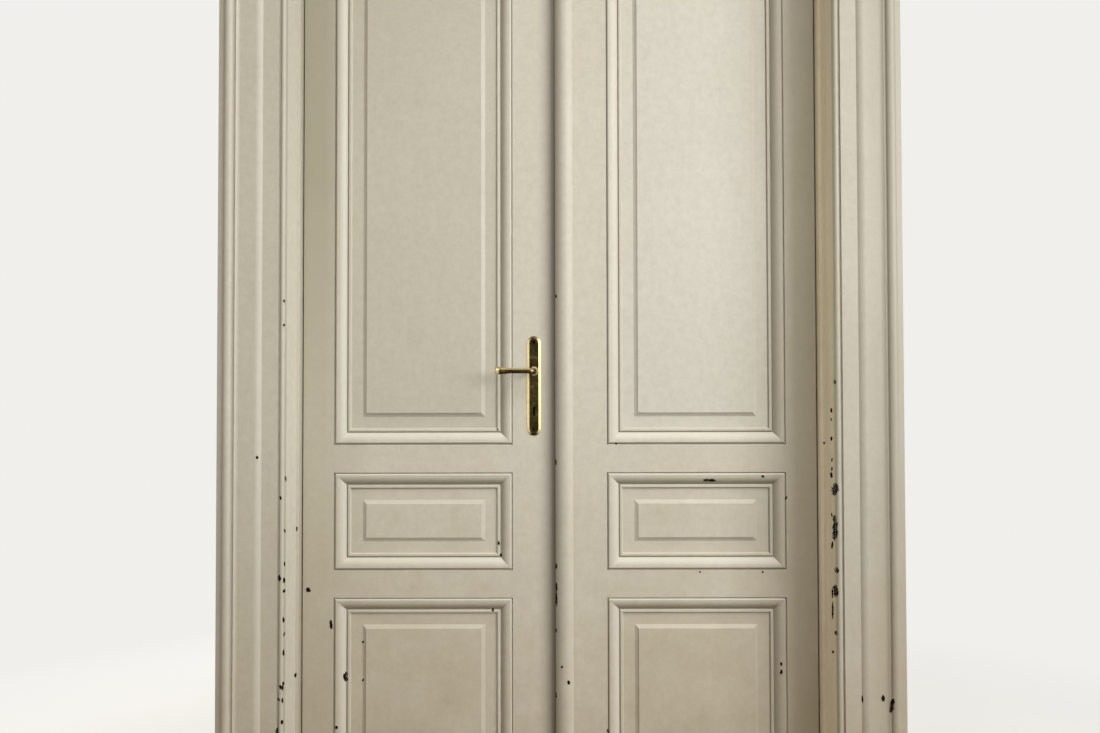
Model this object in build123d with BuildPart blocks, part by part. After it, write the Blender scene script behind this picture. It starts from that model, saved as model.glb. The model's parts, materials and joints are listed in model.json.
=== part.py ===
from build123d import *

import os

# A pair of panelled double doors, in a deep timber lining with an architrave on both sides.
# X runs to the right, Y away from the side that is seen, and Z up. All sizes are in millimetres.
# The origin is at floor level, in the middle of the opening and of the lining's depth.
# Both leaves open towards +Y. The left leaf carries the lock and opens first.

# The opening and its lining
OPENING_WIDTH = 1224.0
OPENING_HEIGHT = 2330.0
THRESHOLD_THICKNESS = 25.0
REVEAL_DEPTH = 137.0
BOARD_DEPTH = 104.0
BOARD_THICKNESS = 26.0
BOARD_SET_BACK = 5.0
POST_THICKNESS = 40.0
POST_BEVEL = 9.0
REBATE_WIDTH = 16.0
STOP_SLACK = 2.0

# The leaves
LEAF_THICKNESS = 42.0
LIP_THICKNESS = 15.0
SIDE_GAP = 3.0
TOP_GAP = 3.0
BOTTOM_GAP = 4.0
MEETING_GAP = 4.5
HINGE_STILE = 73.0
MEETING_STILE = 109.5
TOP_RAIL = 115.0
LOCK_RAIL = 66.0
LOWER_RAIL = 65.0
BOTTOM_RAIL = 145.0
MIDDLE_PANEL_HEIGHT = 230.5
LOWER_PANEL_HEIGHT = 420.0

# The panels, which sit in grooves round each framed opening
PANEL_THICKNESS = 10.0
GROOVE_DEPTH = 12.0
PANEL_PLAY = 1.0
GROOVE_PLAY = 0.2
MARGIN_WIDTH = 27.0
BEVEL_WIDTH = 9.0
BEVEL_RISE = 3.5
FIELD_STEP = 2.5

# The moulding round each panel, measured inward from the frame and down from its face
MOULDING_WIDTH = 39.0
MOULDING_GROOVE = 4.5
MOULDING_HEEL = 1.5
CROWN_OFFSET = 6.5
OVOLO_WIDTH = 22.0
OVOLO_DROP = 11.5
QUIRK_DROP = 1.8
QUIRK_SLOPE = 3.5
FILLET_DROP = 10.3
FILLET_WIDTH = 4.5
MITRE_GAP = 0.2

# The architrave, measured outward from its inner edge and out from the wall
ARCHITRAVE_WIDTH = 148.0
BEAD_RADIUS = 5.5
QUIRK_WIDTH = 3.0
INNER_FASCIA_RISE = 18.0
INNER_FASCIA_WIDTH = 36.0
STEP_WIDTH = 15.0
OUTER_FASCIA_RISE = 25.5
OUTER_FASCIA_WIDTH = 34.0
COVE_WIDTH = 9.0
COVE_RISE = 3.5
TORUS_GROOVE = 5.0
TORUS_WIDTH = 22.0
TORUS_RISE = 10.0
EDGE_RISE = 22.0
BACK_GROOVE_CLEARANCE = 3.0
BACK_GROOVE_WIDTH = 5.0
BACK_GROOVE_DEPTH = 3.0
FAR_SET_BACK = 25.0

# The cover strips over the meeting line
STRIP_WIDTH = 42.6
STRIP_LAP = 10.6
STRIP_EDGE = 4.0
STRIP_RISE = 13.0
STRIP_CLEARANCE = 0.8

# The lift-off hinges, three on each leaf
HINGE_COUNT = 3
HINGE_INSET = 220.0
KNUCKLE_RADIUS = 7.5
KNUCKLE_LENGTH = 50.0
KNUCKLE_GAP = 0.4
KNUCKLE_CLEARANCE = 0.5
PLATE_PLAY = 0.6
PLATE_WIDTH = 13.0
PIN_RADIUS = 4.0
PIN_REACH = 34.0
PIN_SEAT = 18.0
RUNNING_CLEARANCE = 0.05
FINIAL_TIP_RADIUS = 2.5
FINIAL_HEIGHT = 9.0

# The lock, whose bolts and keyhole keep to shares of its case's height from the spindle
LEVER_HEIGHT = 1130.0
BACKSET = 58.75
CASE_HEIGHT = 160.0
LOCK_DROP = 0.22 * CASE_HEIGHT
LATCH_RISE = 0.16 * CASE_HEIGHT
BOLT_DROP = 0.28 * CASE_HEIGHT
KEY_DROP = 0.55 * CASE_HEIGHT
CASE_DEPTH = 83.0
CASE_THICKNESS = 15.0
CASE_WALL = 1.5
MORTISE_CLEARANCE = 0.4
SLIDE_CLEARANCE = 0.3
FACEPLATE_HEIGHT = 235.0
FACEPLATE_WIDTH = 20.0
FACEPLATE_THICKNESS = 3.0
LATCH_HEIGHT = 20.0
LATCH_THROW = 11.0
LATCH_BODY = 25.0
LATCH_NOSE = 3.0
TAIL_HEIGHT = 6.0
TAIL_CLEARANCE = 1.0
LUG_WIDTH = 5.0
FOLLOWER_RADIUS = 12.0
ARM_WIDTH = 8.0
ARM_REACH = 21.0
BOLT_HEIGHT = 26.0
BOLT_LENGTH = 45.0
BOLT_THROW = 18.0
SPINDLE_SIZE = 8.0
SPINDLE_HOLE_RADIUS = 10.0
STRIKE_HEIGHT = 180.0
STRIKE_THICKNESS = 2.5
WINDOW_CLEARANCE = 1.0
POCKET_CLEARANCE = 2.0

# The keyhole and the long plates
KEYHOLE_RADIUS = 4.0
KEYHOLE_SLOT = 5.0
KEYHOLE_LENGTH = 19.0
PLATE_TOP = 83.0
PLATE_BOTTOM = 153.0
BACKPLATE_WIDTH = 33.0
BACKPLATE_THICKNESS = 4.0
BACKPLATE_BEVEL = 5.6
SCREW_INSET = 14.5
SCREW_HEAD_RADIUS = 4.2
SCREW_RADIUS = 2.1
SCREW_LENGTH = 19.0
SCREW_CLEARANCE = 0.05

# The levers
NECK_RADIUS = 9.0
COLLAR_RADIUS = 10.5
COLLAR_HEIGHT = 4.0
COLLAR_GAP = 0.3
WAIST_RADIUS = 9.0
GRIP_RADIUS = 6.3
GRIP_STANDOFF = 46.0
BEND_RADIUS = 12.0
LEVER_LENGTH = 90.0
FLARE_LENGTH = 24.0
FLARE_RADIUS = 8.8
RING_GROOVE = 1.0
RING_WIDTH = 1.6
CAP_LENGTH = 7.0
CAP_RISE = 3.0
CAP_FACE_RADIUS = 5.5
SOCKET_DEPTH = 30.0

# The flush bolts in the edge of the right leaf
ROD_RADIUS = 5.0
ROD_CLEARANCE = 0.1
ROD_LENGTH = 330.0
ROD_INSET = 13.0
ROD_SET_BACK = 1.0
ROD_THROW = 18.0
THUMB_INSET = 40.0
THUMB_HEIGHT = 10.0
THUMB_WIDTH = 6.0
THUMB_CLEARANCE = 0.3
EDGE_PLATE_LENGTH = 160.0
EDGE_PLATE_WIDTH = 18.0
EDGE_PLATE_THICKNESS = 2.5
KEEPER_LENGTH = 60.0
KEEPER_WIDTH = 26.0
KEEPER_THICKNESS = 2.0
KEEPER_CLEARANCE = 1.0

# Levels that follow from the sizes above
LEFT = -1
RIGHT = 1
NEAR = -1
FAR = 1
FAR_EDGE = (REVEAL_DEPTH + LEAF_THICKNESS) / 2
NEAR_EDGE = -FAR_EDGE
LEAF_NEAR = FAR_EDGE - LEAF_THICKNESS
LEAF_MIDDLE = FAR_EDGE - LEAF_THICKNESS / 2
LIP_FACE = FAR_EDGE - LIP_THICKNESS
STOP_FACE = LIP_FACE - STOP_SLACK
BOARD_END = NEAR_EDGE + BOARD_DEPTH
HALF_OPENING = OPENING_WIDTH / 2
REBATE_EDGE = HALF_OPENING + REBATE_WIDTH
HEAD_LEVEL = THRESHOLD_THICKNESS + OPENING_HEIGHT

# Distances from the centre line to the edges of a leaf's timbers
MEETING_EDGE = MEETING_GAP / 2
HINGE_EDGE = HALF_OPENING - SIDE_GAP
LIP_EDGE = REBATE_EDGE - SIDE_GAP
PANEL_INNER = MEETING_EDGE + MEETING_STILE
PANEL_OUTER = HINGE_EDGE - HINGE_STILE
PANEL_WIDTH = PANEL_OUTER - PANEL_INNER
PANEL_CENTRE = (PANEL_OUTER + PANEL_INNER) / 2

# Levels of a leaf's rails and panels, from the bottom up
LEAF_BOTTOM = THRESHOLD_THICKNESS + BOTTOM_GAP
LEAF_TOP = HEAD_LEVEL - TOP_GAP
LIP_TOP = HEAD_LEVEL + REBATE_WIDTH - TOP_GAP
LOWER_PANEL_FOOT = LEAF_BOTTOM + BOTTOM_RAIL
LOWER_PANEL_HEAD = LOWER_PANEL_FOOT + LOWER_PANEL_HEIGHT
MIDDLE_PANEL_FOOT = LOWER_PANEL_HEAD + LOWER_RAIL
MIDDLE_PANEL_HEAD = MIDDLE_PANEL_FOOT + MIDDLE_PANEL_HEIGHT
UPPER_PANEL_FOOT = MIDDLE_PANEL_HEAD + LOCK_RAIL
UPPER_PANEL_HEAD = LEAF_TOP - TOP_RAIL
PANEL_SPANS = {
    "upper": (UPPER_PANEL_FOOT, UPPER_PANEL_HEAD),
    "middle": (MIDDLE_PANEL_FOOT, MIDDLE_PANEL_HEAD),
    "lower": (LOWER_PANEL_FOOT, LOWER_PANEL_HEAD),
}
PANEL_DEPTH = (LEAF_THICKNESS - PANEL_THICKNESS) / 2

# Places of the hinges and of the lock
HINGE_PLATE = (SIDE_GAP - PLATE_PLAY) / 2
AXIS_X = REBATE_EDGE - SIDE_GAP / 2
AXIS_Y = FAR_EDGE + KNUCKLE_RADIUS + KNUCKLE_CLEARANCE
HINGE_SPACING = (LEAF_TOP - LEAF_BOTTOM - 2 * HINGE_INSET) / (HINGE_COUNT - 1)
HINGE_LEVELS = [LEAF_BOTTOM + HINGE_INSET + i * HINGE_SPACING for i in range(HINGE_COUNT)]
SPINDLE_X = -(MEETING_EDGE + BACKSET)
LOCK_LEVEL = LEVER_HEIGHT - LOCK_DROP
LATCH_LEVEL = LEVER_HEIGHT + LATCH_RISE
BOLT_LEVEL = LEVER_HEIGHT - BOLT_DROP
KEY_LEVEL = LEVER_HEIGHT - KEY_DROP
CASE_FRONT = MEETING_EDGE + FACEPLATE_THICKNESS
CASE_ROOM = CASE_THICKNESS - 2 * CASE_WALL
SLIDE_THICKNESS = CASE_ROOM - 2 * SLIDE_CLEARANCE
ROD_X = MEETING_EDGE + ROD_INSET
ROD_Y = LEAF_NEAR + ROD_INSET


def block(x_span, y_span, z_span, mode=Mode.ADD):
    """A box that fills the given spans, whichever end of each comes first."""
    spans = (x_span, y_span, z_span)
    with Locations(tuple((start + end) / 2 for start, end in spans)):
        Box(*(abs(end - start) for start, end in spans), mode=mode)


def about(middle, size):
    """The span of a size about its middle."""
    return (middle - size / 2, middle + size / 2)


def cylinder_between(centre, radius, z_span, mode=Mode.ADD):
    """An upright cylinder about a point in plan."""
    low, high = sorted(z_span)
    with Locations((*centre, (low + high) / 2)):
        Cylinder(radius, high - low, mode=mode)


def face_plane(x, z, face, lift=0.0):
    """A plane on the near or far face of a leaf, looking straight out of it with Z up."""
    y = LEAF_NEAR - lift if face == NEAR else FAR_EDGE + lift
    return Plane(origin=(x, y, z), x_dir=(-face, 0, 0), z_dir=(0, face, 0))


def save(name, shape):
    """Labels a finished piece and writes it to its own file."""
    shape.label = name
    export_step(shape, f"parts/{name}.step")


# The lining


def reveal_board(side):
    """The board that lines the near part of the opening, a little behind the stop's face."""
    inner = side * (HALF_OPENING + BOARD_SET_BACK)
    outer = inner + side * BOARD_THICKNESS
    with BuildPart() as board:
        block((inner, outer), (NEAR_EDGE, BOARD_END), (0, HEAD_LEVEL + BOARD_SET_BACK))
    return board.part


def head_reveal_board():
    """The board over the near part of the opening, resting on the side boards."""
    reach = HALF_OPENING + BOARD_SET_BACK + BOARD_THICKNESS
    foot = HEAD_LEVEL + BOARD_SET_BACK
    with BuildPart() as board:
        block((-reach, reach), (NEAR_EDGE, BOARD_END), (foot, foot + BOARD_THICKNESS))
    return board.part


def post_section():
    """The rebated frame in section: across from the opening, then along its depth."""
    with BuildSketch() as section:
        with BuildLine():
            Polyline(
                (BOARD_SET_BACK, BOARD_END),
                (0, BOARD_END + POST_BEVEL),
                (0, STOP_FACE),
                (REBATE_WIDTH, STOP_FACE),
                (REBATE_WIDTH, FAR_EDGE),
                (POST_THICKNESS, FAR_EDGE),
                (POST_THICKNESS, BOARD_END),
                close=True,
            )
        make_face()
    return section.sketch


def frame_post(side):
    """One upright of the rebated frame that the leaves close against."""
    plane = Plane(origin=(side * HALF_OPENING, 0, 0), x_dir=(side, 0, 0), z_dir=(0, 0, side))
    with BuildPart() as post:
        with BuildSketch(plane):
            add(post_section())
        extrude(amount=side * HEAD_LEVEL)
    return post.part


def frame_head():
    """The rebated head of the frame, with the hole for the upper flush bolt."""
    reach = HALF_OPENING + POST_THICKNESS
    plane = Plane(origin=(0, 0, HEAD_LEVEL), x_dir=(0, 0, 1), z_dir=(-1, 0, 0))
    with BuildPart() as head:
        with BuildSketch(plane):
            add(post_section())
        extrude(amount=reach, both=True)
        for side in (LEFT, RIGHT):
            fill = (side * REBATE_EDGE, side * reach)
            block(fill, (BOARD_END, FAR_EDGE), (HEAD_LEVEL, HEAD_LEVEL + POST_THICKNESS))
        keeper_recess(HEAD_LEVEL, 1)
        hole = HEAD_LEVEL + ROD_THROW + KEEPER_CLEARANCE
        cylinder_between((ROD_X, ROD_Y), keeper_radius(), (HEAD_LEVEL, hole), Mode.SUBTRACT)
    return head.part


def threshold():
    """The plank under the leaves, notched into the frame's rebates."""
    with BuildPart() as plank:
        with BuildSketch():
            with BuildLine():
                Polyline(
                    (-HALF_OPENING, NEAR_EDGE),
                    (-HALF_OPENING, STOP_FACE),
                    (-REBATE_EDGE, STOP_FACE),
                    (-REBATE_EDGE, FAR_EDGE),
                    (REBATE_EDGE, FAR_EDGE),
                    (REBATE_EDGE, STOP_FACE),
                    (HALF_OPENING, STOP_FACE),
                    (HALF_OPENING, NEAR_EDGE),
                    close=True,
                )
            make_face()
        extrude(amount=THRESHOLD_THICKNESS)
        keeper_recess(THRESHOLD_THICKNESS, -1)
        hole = THRESHOLD_THICKNESS - ROD_THROW + BOTTOM_GAP
        cylinder_between((ROD_X, ROD_Y), keeper_radius(), (THRESHOLD_THICKNESS, hole), Mode.SUBTRACT)
    return plank.part


def keeper_radius():
    """The radius of the hole that a flush bolt's rod drops into."""
    return ROD_RADIUS + KEEPER_CLEARANCE


def keeper_recess(level, way):
    """Sinks a keeper plate's seat into the timber, up or down from its face."""
    depth = (level, level + way * KEEPER_THICKNESS)
    block(about(ROD_X, KEEPER_LENGTH), about(ROD_Y, KEEPER_WIDTH), depth, Mode.SUBTRACT)


def bolt_keepers():
    """The two plates that the flush bolts pass through, in the head and in the threshold."""
    plates = []
    for level, way in ((HEAD_LEVEL, 1), (THRESHOLD_THICKNESS, -1)):
        depth = (level, level + way * KEEPER_THICKNESS)
        with BuildPart() as plate:
            block(about(ROD_X, KEEPER_LENGTH), about(ROD_Y, KEEPER_WIDTH), depth)
            cylinder_between((ROD_X, ROD_Y), keeper_radius(), depth, Mode.SUBTRACT)
        plates.append(plate.part)
    return Compound(children=plates)


# The architraves


def architrave_section():
    """The architrave in section: outward from its inner edge, then out from the wall.
    A groove in its back parts what lies on the lining from what lies on the wall."""
    bead_side = INNER_FASCIA_RISE - BEAD_RADIUS
    bead_end = 2 * BEAD_RADIUS
    fascia_start = bead_end + QUIRK_WIDTH
    step_start = fascia_start + INNER_FASCIA_WIDTH
    outer_start = step_start + STEP_WIDTH
    outer_end = outer_start + OUTER_FASCIA_WIDTH
    cove_end = outer_end + COVE_WIDTH
    cove_top = OUTER_FASCIA_RISE + COVE_RISE
    torus_start = cove_end + TORUS_GROOVE
    torus_end = torus_start + TORUS_WIDTH
    torus_top = OUTER_FASCIA_RISE + TORUS_RISE
    groove_start = BOARD_SET_BACK + BOARD_THICKNESS + BACK_GROOVE_CLEARANCE
    groove_end = groove_start + BACK_GROOVE_WIDTH
    with BuildSketch() as section:
        with BuildLine():
            Line((0, 0), (0, bead_side))
            ThreePointArc((0, bead_side), (BEAD_RADIUS, INNER_FASCIA_RISE), (bead_end, bead_side))
            Polyline(
                (bead_end, bead_side),
                (fascia_start, bead_side),
                (fascia_start, INNER_FASCIA_RISE),
                (step_start, INNER_FASCIA_RISE),
            )
            TangentArc(
                (outer_start, OUTER_FASCIA_RISE), (step_start, INNER_FASCIA_RISE), tangent=(-1, 0)
            )
            Line((outer_start, OUTER_FASCIA_RISE), (outer_end, OUTER_FASCIA_RISE))
            TangentArc((outer_end, OUTER_FASCIA_RISE), (cove_end, cove_top), tangent=(1, 0))
            Polyline(
                (cove_end, cove_top),
                (cove_end, OUTER_FASCIA_RISE),
                (torus_start, OUTER_FASCIA_RISE),
            )
            ThreePointArc(
                (torus_start, OUTER_FASCIA_RISE),
                ((torus_start + torus_end) / 2, torus_top),
                (torus_end, OUTER_FASCIA_RISE),
            )
            Polyline(
                (torus_end, OUTER_FASCIA_RISE),
                (ARCHITRAVE_WIDTH, EDGE_RISE),
                (ARCHITRAVE_WIDTH, 0),
                (groove_end, 0),
                (groove_end, BACK_GROOVE_DEPTH),
                (groove_start, BACK_GROOVE_DEPTH),
                (groove_start, 0),
                (0, 0),
            )
        make_face()
    return section.sketch


def mitre_outline(corners):
    """Cuts the piece being built to an outline seen from the front."""
    with BuildSketch(Plane.XZ) as outline:
        with BuildLine():
            Polyline(*corners, close=True)
        make_face()
    extrude(outline.sketch, amount=2 * OPENING_WIDTH, both=True, mode=Mode.INTERSECT)


def side_architrave(side, face, set_back):
    """An upright architrave, mitred at its head."""
    inner = HALF_OPENING + set_back
    outer = inner + ARCHITRAVE_WIDTH
    low_mitre = HEAD_LEVEL + set_back
    high_mitre = low_mitre + ARCHITRAVE_WIDTH
    plane = Plane(
        origin=(side * inner, face * FAR_EDGE, 0), x_dir=(side, 0, 0), z_dir=(0, 0, side * face)
    )
    with BuildPart() as strip:
        with BuildSketch(plane):
            add(architrave_section())
        extrude(amount=side * face * high_mitre)
        mitre_outline(
            [
                (side * inner, 0),
                (side * outer, 0),
                (side * outer, high_mitre - MITRE_GAP),
                (side * inner, low_mitre - MITRE_GAP),
            ]
        )
    return strip.part


def head_architrave(face, set_back):
    """The architrave over the opening, mitred at both ends."""
    inner = HALF_OPENING + set_back
    outer = inner + ARCHITRAVE_WIDTH
    low_mitre = HEAD_LEVEL + set_back
    high_mitre = low_mitre + ARCHITRAVE_WIDTH
    plane = Plane(origin=(0, face * FAR_EDGE, low_mitre), x_dir=(0, 0, 1), z_dir=(-face, 0, 0))
    with BuildPart() as strip:
        with BuildSketch(plane):
            add(architrave_section())
        extrude(amount=outer, both=True)
        mitre_outline(
            [(-inner, low_mitre), (inner, low_mitre), (outer, high_mitre), (-outer, high_mitre)]
        )
    return strip.part


# The leaves


def stile(side, span, lip_reach):
    """An upright of a leaf, grooved for the panels, with its lip lapping the frame behind."""
    inner, outer = span
    groove = inner if lip_reach else outer - GROOVE_DEPTH
    block((side * inner, side * outer), (LEAF_NEAR, LIP_FACE), (LEAF_BOTTOM, LEAF_TOP))
    block((side * inner, side * (outer + lip_reach)), (LIP_FACE, FAR_EDGE), (LEAF_BOTTOM, LIP_TOP))
    block(
        (side * groove, side * (groove + GROOVE_DEPTH)),
        about(LEAF_MIDDLE, PANEL_THICKNESS + GROOVE_PLAY),
        (LEAF_BOTTOM, LEAF_TOP),
        Mode.SUBTRACT,
    )


def hinge_stile(side):
    """The stile that carries the hinges, with the lip that laps the frame."""
    with BuildPart() as upright:
        stile(side, (PANEL_OUTER, HINGE_EDGE), LIP_EDGE - HINGE_EDGE)
    return upright.part


def left_meeting_stile():
    """The stile with the lock's mortise, its faceplate's seat and the holes through it."""
    with BuildPart() as upright:
        stile(LEFT, (MEETING_EDGE, PANEL_INNER), 0)
        block(
            (-MEETING_EDGE, -CASE_FRONT),
            about(LEAF_MIDDLE, FACEPLATE_WIDTH),
            about(LOCK_LEVEL, FACEPLATE_HEIGHT),
            Mode.SUBTRACT,
        )
        block(
            (-CASE_FRONT, -CASE_FRONT - CASE_DEPTH - MORTISE_CLEARANCE),
            about(LEAF_MIDDLE, CASE_THICKNESS + 2 * MORTISE_CLEARANCE),
            about(LOCK_LEVEL, CASE_HEIGHT + 2 * MORTISE_CLEARANCE),
            Mode.SUBTRACT,
        )
        with BuildSketch(Plane.XZ.offset(-FAR_EDGE)):
            with Locations((SPINDLE_X, LEVER_HEIGHT)):
                Circle(SPINDLE_HOLE_RADIUS)
        extrude(amount=LEAF_THICKNESS, mode=Mode.SUBTRACT)
        keyhole_cut(FAR_EDGE, LEAF_THICKNESS)
        for face in (NEAR, FAR):
            for level in screw_levels():
                with BuildSketch(face_plane(SPINDLE_X, level, face)):
                    Circle(SCREW_RADIUS + SCREW_CLEARANCE)
                extrude(amount=-SCREW_LENGTH, mode=Mode.SUBTRACT)
    return upright.part


def right_meeting_stile():
    """The stile that the bolts engage, bored for the flush bolts and seated for their plates."""
    with BuildPart() as upright:
        stile(RIGHT, (MEETING_EDGE, PANEL_INNER), 0)
        block(
            (MEETING_EDGE, MEETING_EDGE + STRIKE_THICKNESS),
            about(LEAF_MIDDLE, FACEPLATE_WIDTH),
            about(LOCK_LEVEL, STRIKE_HEIGHT),
            Mode.SUBTRACT,
        )
        strike_pocket(LATCH_LEVEL, LATCH_HEIGHT, LATCH_THROW)
        strike_pocket(BOLT_LEVEL, BOLT_HEIGHT, BOLT_THROW)
        for end in (TOP, BOTTOM):
            flush_bolt_cut(end)
    return upright.part


def strike_pocket(level, height, throw):
    """Sinks the pocket that a bolt's nose enters, from the edge of the right leaf."""
    block(
        (MEETING_EDGE, throw - MEETING_EDGE + POCKET_CLEARANCE),
        about(LEAF_MIDDLE, SLIDE_THICKNESS + 2 * WINDOW_CLEARANCE),
        about(level, height + 2 * WINDOW_CLEARANCE),
        Mode.SUBTRACT,
    )


def keyhole_cut(far_y, depth):
    """Cuts the keyhole towards the near side, from a given level."""
    with BuildSketch(Plane.XZ.offset(-far_y)) as outline:
        with Locations((SPINDLE_X, KEY_LEVEL)):
            Circle(KEYHOLE_RADIUS)
        with Locations((SPINDLE_X, KEY_LEVEL - KEYHOLE_LENGTH / 2)):
            Rectangle(KEYHOLE_SLOT, KEYHOLE_LENGTH)
    extrude(outline.sketch, amount=depth, mode=Mode.SUBTRACT)


def screw_levels():
    """The levels of the two screws in each long plate."""
    return (
        LEVER_HEIGHT + PLATE_TOP - SCREW_INSET,
        LEVER_HEIGHT - PLATE_BOTTOM + SCREW_INSET,
    )


def rail(side, z_span, lip_reach=0.0):
    """A rail between the stiles, grooved for the panels and tongued into the stiles."""
    foot, head = z_span
    ends = (side * PANEL_INNER, side * PANEL_OUTER)
    tongues = (side * (PANEL_INNER - GROOVE_DEPTH), side * (PANEL_OUTER + GROOVE_DEPTH))
    groove = about(LEAF_MIDDLE, PANEL_THICKNESS + GROOVE_PLAY)
    with BuildPart() as timber:
        block(ends, (LEAF_NEAR, LIP_FACE), z_span)
        block(ends, (LIP_FACE, FAR_EDGE), (foot, head + lip_reach))
        block(tongues, groove, z_span)
        if foot > LEAF_BOTTOM:
            block(tongues, groove, (foot, foot + GROOVE_DEPTH), Mode.SUBTRACT)
        if head < LEAF_TOP:
            block(tongues, groove, (head - GROOVE_DEPTH, head), Mode.SUBTRACT)
    return timber.part


def raised_panel(side, z_span):
    """A panel with a raised field on both faces, its edges in the grooves of the frame."""
    foot, head = z_span
    height = head - foot
    middle = (foot + head) / 2
    border = 2 * (MOULDING_WIDTH + MARGIN_WIDTH)
    tongue = 2 * (GROOVE_DEPTH - PANEL_PLAY)
    inset = border + 2 * BEVEL_WIDTH
    with BuildPart() as panel:
        block(
            about(side * PANEL_CENTRE, PANEL_WIDTH + tongue),
            about(LEAF_MIDDLE, PANEL_THICKNESS),
            about(middle, height + tongue),
        )
        for face in (NEAR, FAR):
            base = face_plane(side * PANEL_CENTRE, middle, face, -PANEL_DEPTH)
            with BuildSketch(base):
                Rectangle(PANEL_WIDTH - border, height - border)
            with BuildSketch(base.offset(BEVEL_RISE)):
                Rectangle(PANEL_WIDTH - inset, height - inset)
            loft()
            with BuildSketch(base.offset(BEVEL_RISE)):
                Rectangle(PANEL_WIDTH - inset, height - inset)
            extrude(amount=FIELD_STEP)
    return panel.part


def moulding_section():
    """The panel moulding in section: inward from the frame, then out from its face."""
    ovolo_end = CROWN_OFFSET + OVOLO_WIDTH
    fillet = ovolo_end + QUIRK_SLOPE
    with BuildSketch() as section:
        with BuildLine():
            Polyline((0, -PANEL_DEPTH), (0, -MOULDING_GROOVE), (MOULDING_HEEL, -MOULDING_GROOVE))
            TangentArc((CROWN_OFFSET, 0), (MOULDING_HEEL, -MOULDING_GROOVE), tangent=(-1, 0))
            TangentArc((CROWN_OFFSET, 0), (ovolo_end, -OVOLO_DROP), tangent=(1, 0))
            Polyline(
                (ovolo_end, -OVOLO_DROP),
                (ovolo_end, -OVOLO_DROP - QUIRK_DROP),
                (fillet, -FILLET_DROP),
                (fillet + FILLET_WIDTH, -FILLET_DROP),
                (MOULDING_WIDTH, -PANEL_DEPTH),
                (0, -PANEL_DEPTH),
            )
        make_face()
    return section.sketch


def moulding_length(side, face, z_span, inward):
    """One mitred length of moulding, named by the way that it faces across the panel."""
    foot, head = z_span
    across, up = inward
    half_width = PANEL_WIDTH / 2
    half_height = (head - foot) / 2
    centre_x = side * PANEL_CENTRE
    centre_z = (foot + head) / 2
    half_run = half_width if up else half_height
    edge_x = centre_x - across * half_width
    edge_z = centre_z - up * half_height
    inward_dir = Vector(across, 0, up)
    out_dir = Vector(0, face, 0)
    level = face_plane(edge_x, edge_z, face).origin
    plane = Plane(origin=level, x_dir=inward_dir, z_dir=inward_dir.cross(out_dir))
    cut = MITRE_GAP / 2
    near_run = half_run - cut
    far_run = near_run - MOULDING_WIDTH
    corners = [
        (edge_x - up * near_run, edge_z - across * near_run),
        (edge_x + up * near_run, edge_z + across * near_run),
        (edge_x + up * far_run + across * MOULDING_WIDTH, edge_z + across * far_run + up * MOULDING_WIDTH),
        (edge_x - up * far_run + across * MOULDING_WIDTH, edge_z - across * far_run + up * MOULDING_WIDTH),
    ]
    with BuildPart() as length:
        with BuildSketch(plane):
            add(moulding_section())
        extrude(amount=half_run, both=True)
        mitre_outline(corners)
    return length.part


def mouldings(side, face):
    """All the moulding lengths on one face of a leaf, four to each panel."""
    lengths = []
    for z_span in PANEL_SPANS.values():
        for inward in ((1, 0), (-1, 0), (0, 1), (0, -1)):
            lengths.append(moulding_length(side, face, z_span, inward))
    return Compound(children=lengths)


def cover_strip(side, face):
    """The rounded strip that one leaf carries over the meeting line, lapping the other leaf."""
    y = LEAF_NEAR if face == NEAR else FAR_EDGE
    rim = y + face * STRIP_EDGE
    crown = y + face * STRIP_RISE
    fixed = side * (STRIP_WIDTH - STRIP_LAP)
    lapped = -side * STRIP_LAP
    edge = side * MEETING_EDGE
    relief = y + face * STRIP_CLEARANCE
    with BuildPart() as strip:
        with BuildSketch(Plane.XY.offset(LEAF_BOTTOM)):
            with BuildLine():
                Polyline(
                    (lapped, rim),
                    (lapped, relief),
                    (edge, relief),
                    (edge, y),
                    (fixed, y),
                    (fixed, rim),
                )
                ThreePointArc(
                    (fixed, rim),
                    ((fixed + lapped) / 2, crown),
                    (lapped, rim),
                )
            make_face()
        extrude(amount=LEAF_TOP - LEAF_BOTTOM)
    return strip.part


# The hinges


def finial_section(base, way):
    """Half of the turned tip, above or below a knuckle's end."""
    tip = base + way * FINIAL_HEIGHT
    with BuildSketch() as section:
        with BuildLine():
            Polyline(
                (0, base),
                (KNUCKLE_RADIUS, base),
                (FINIAL_TIP_RADIUS, tip),
                (0, tip),
                close=True,
            )
        make_face()
    return section.sketch


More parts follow.
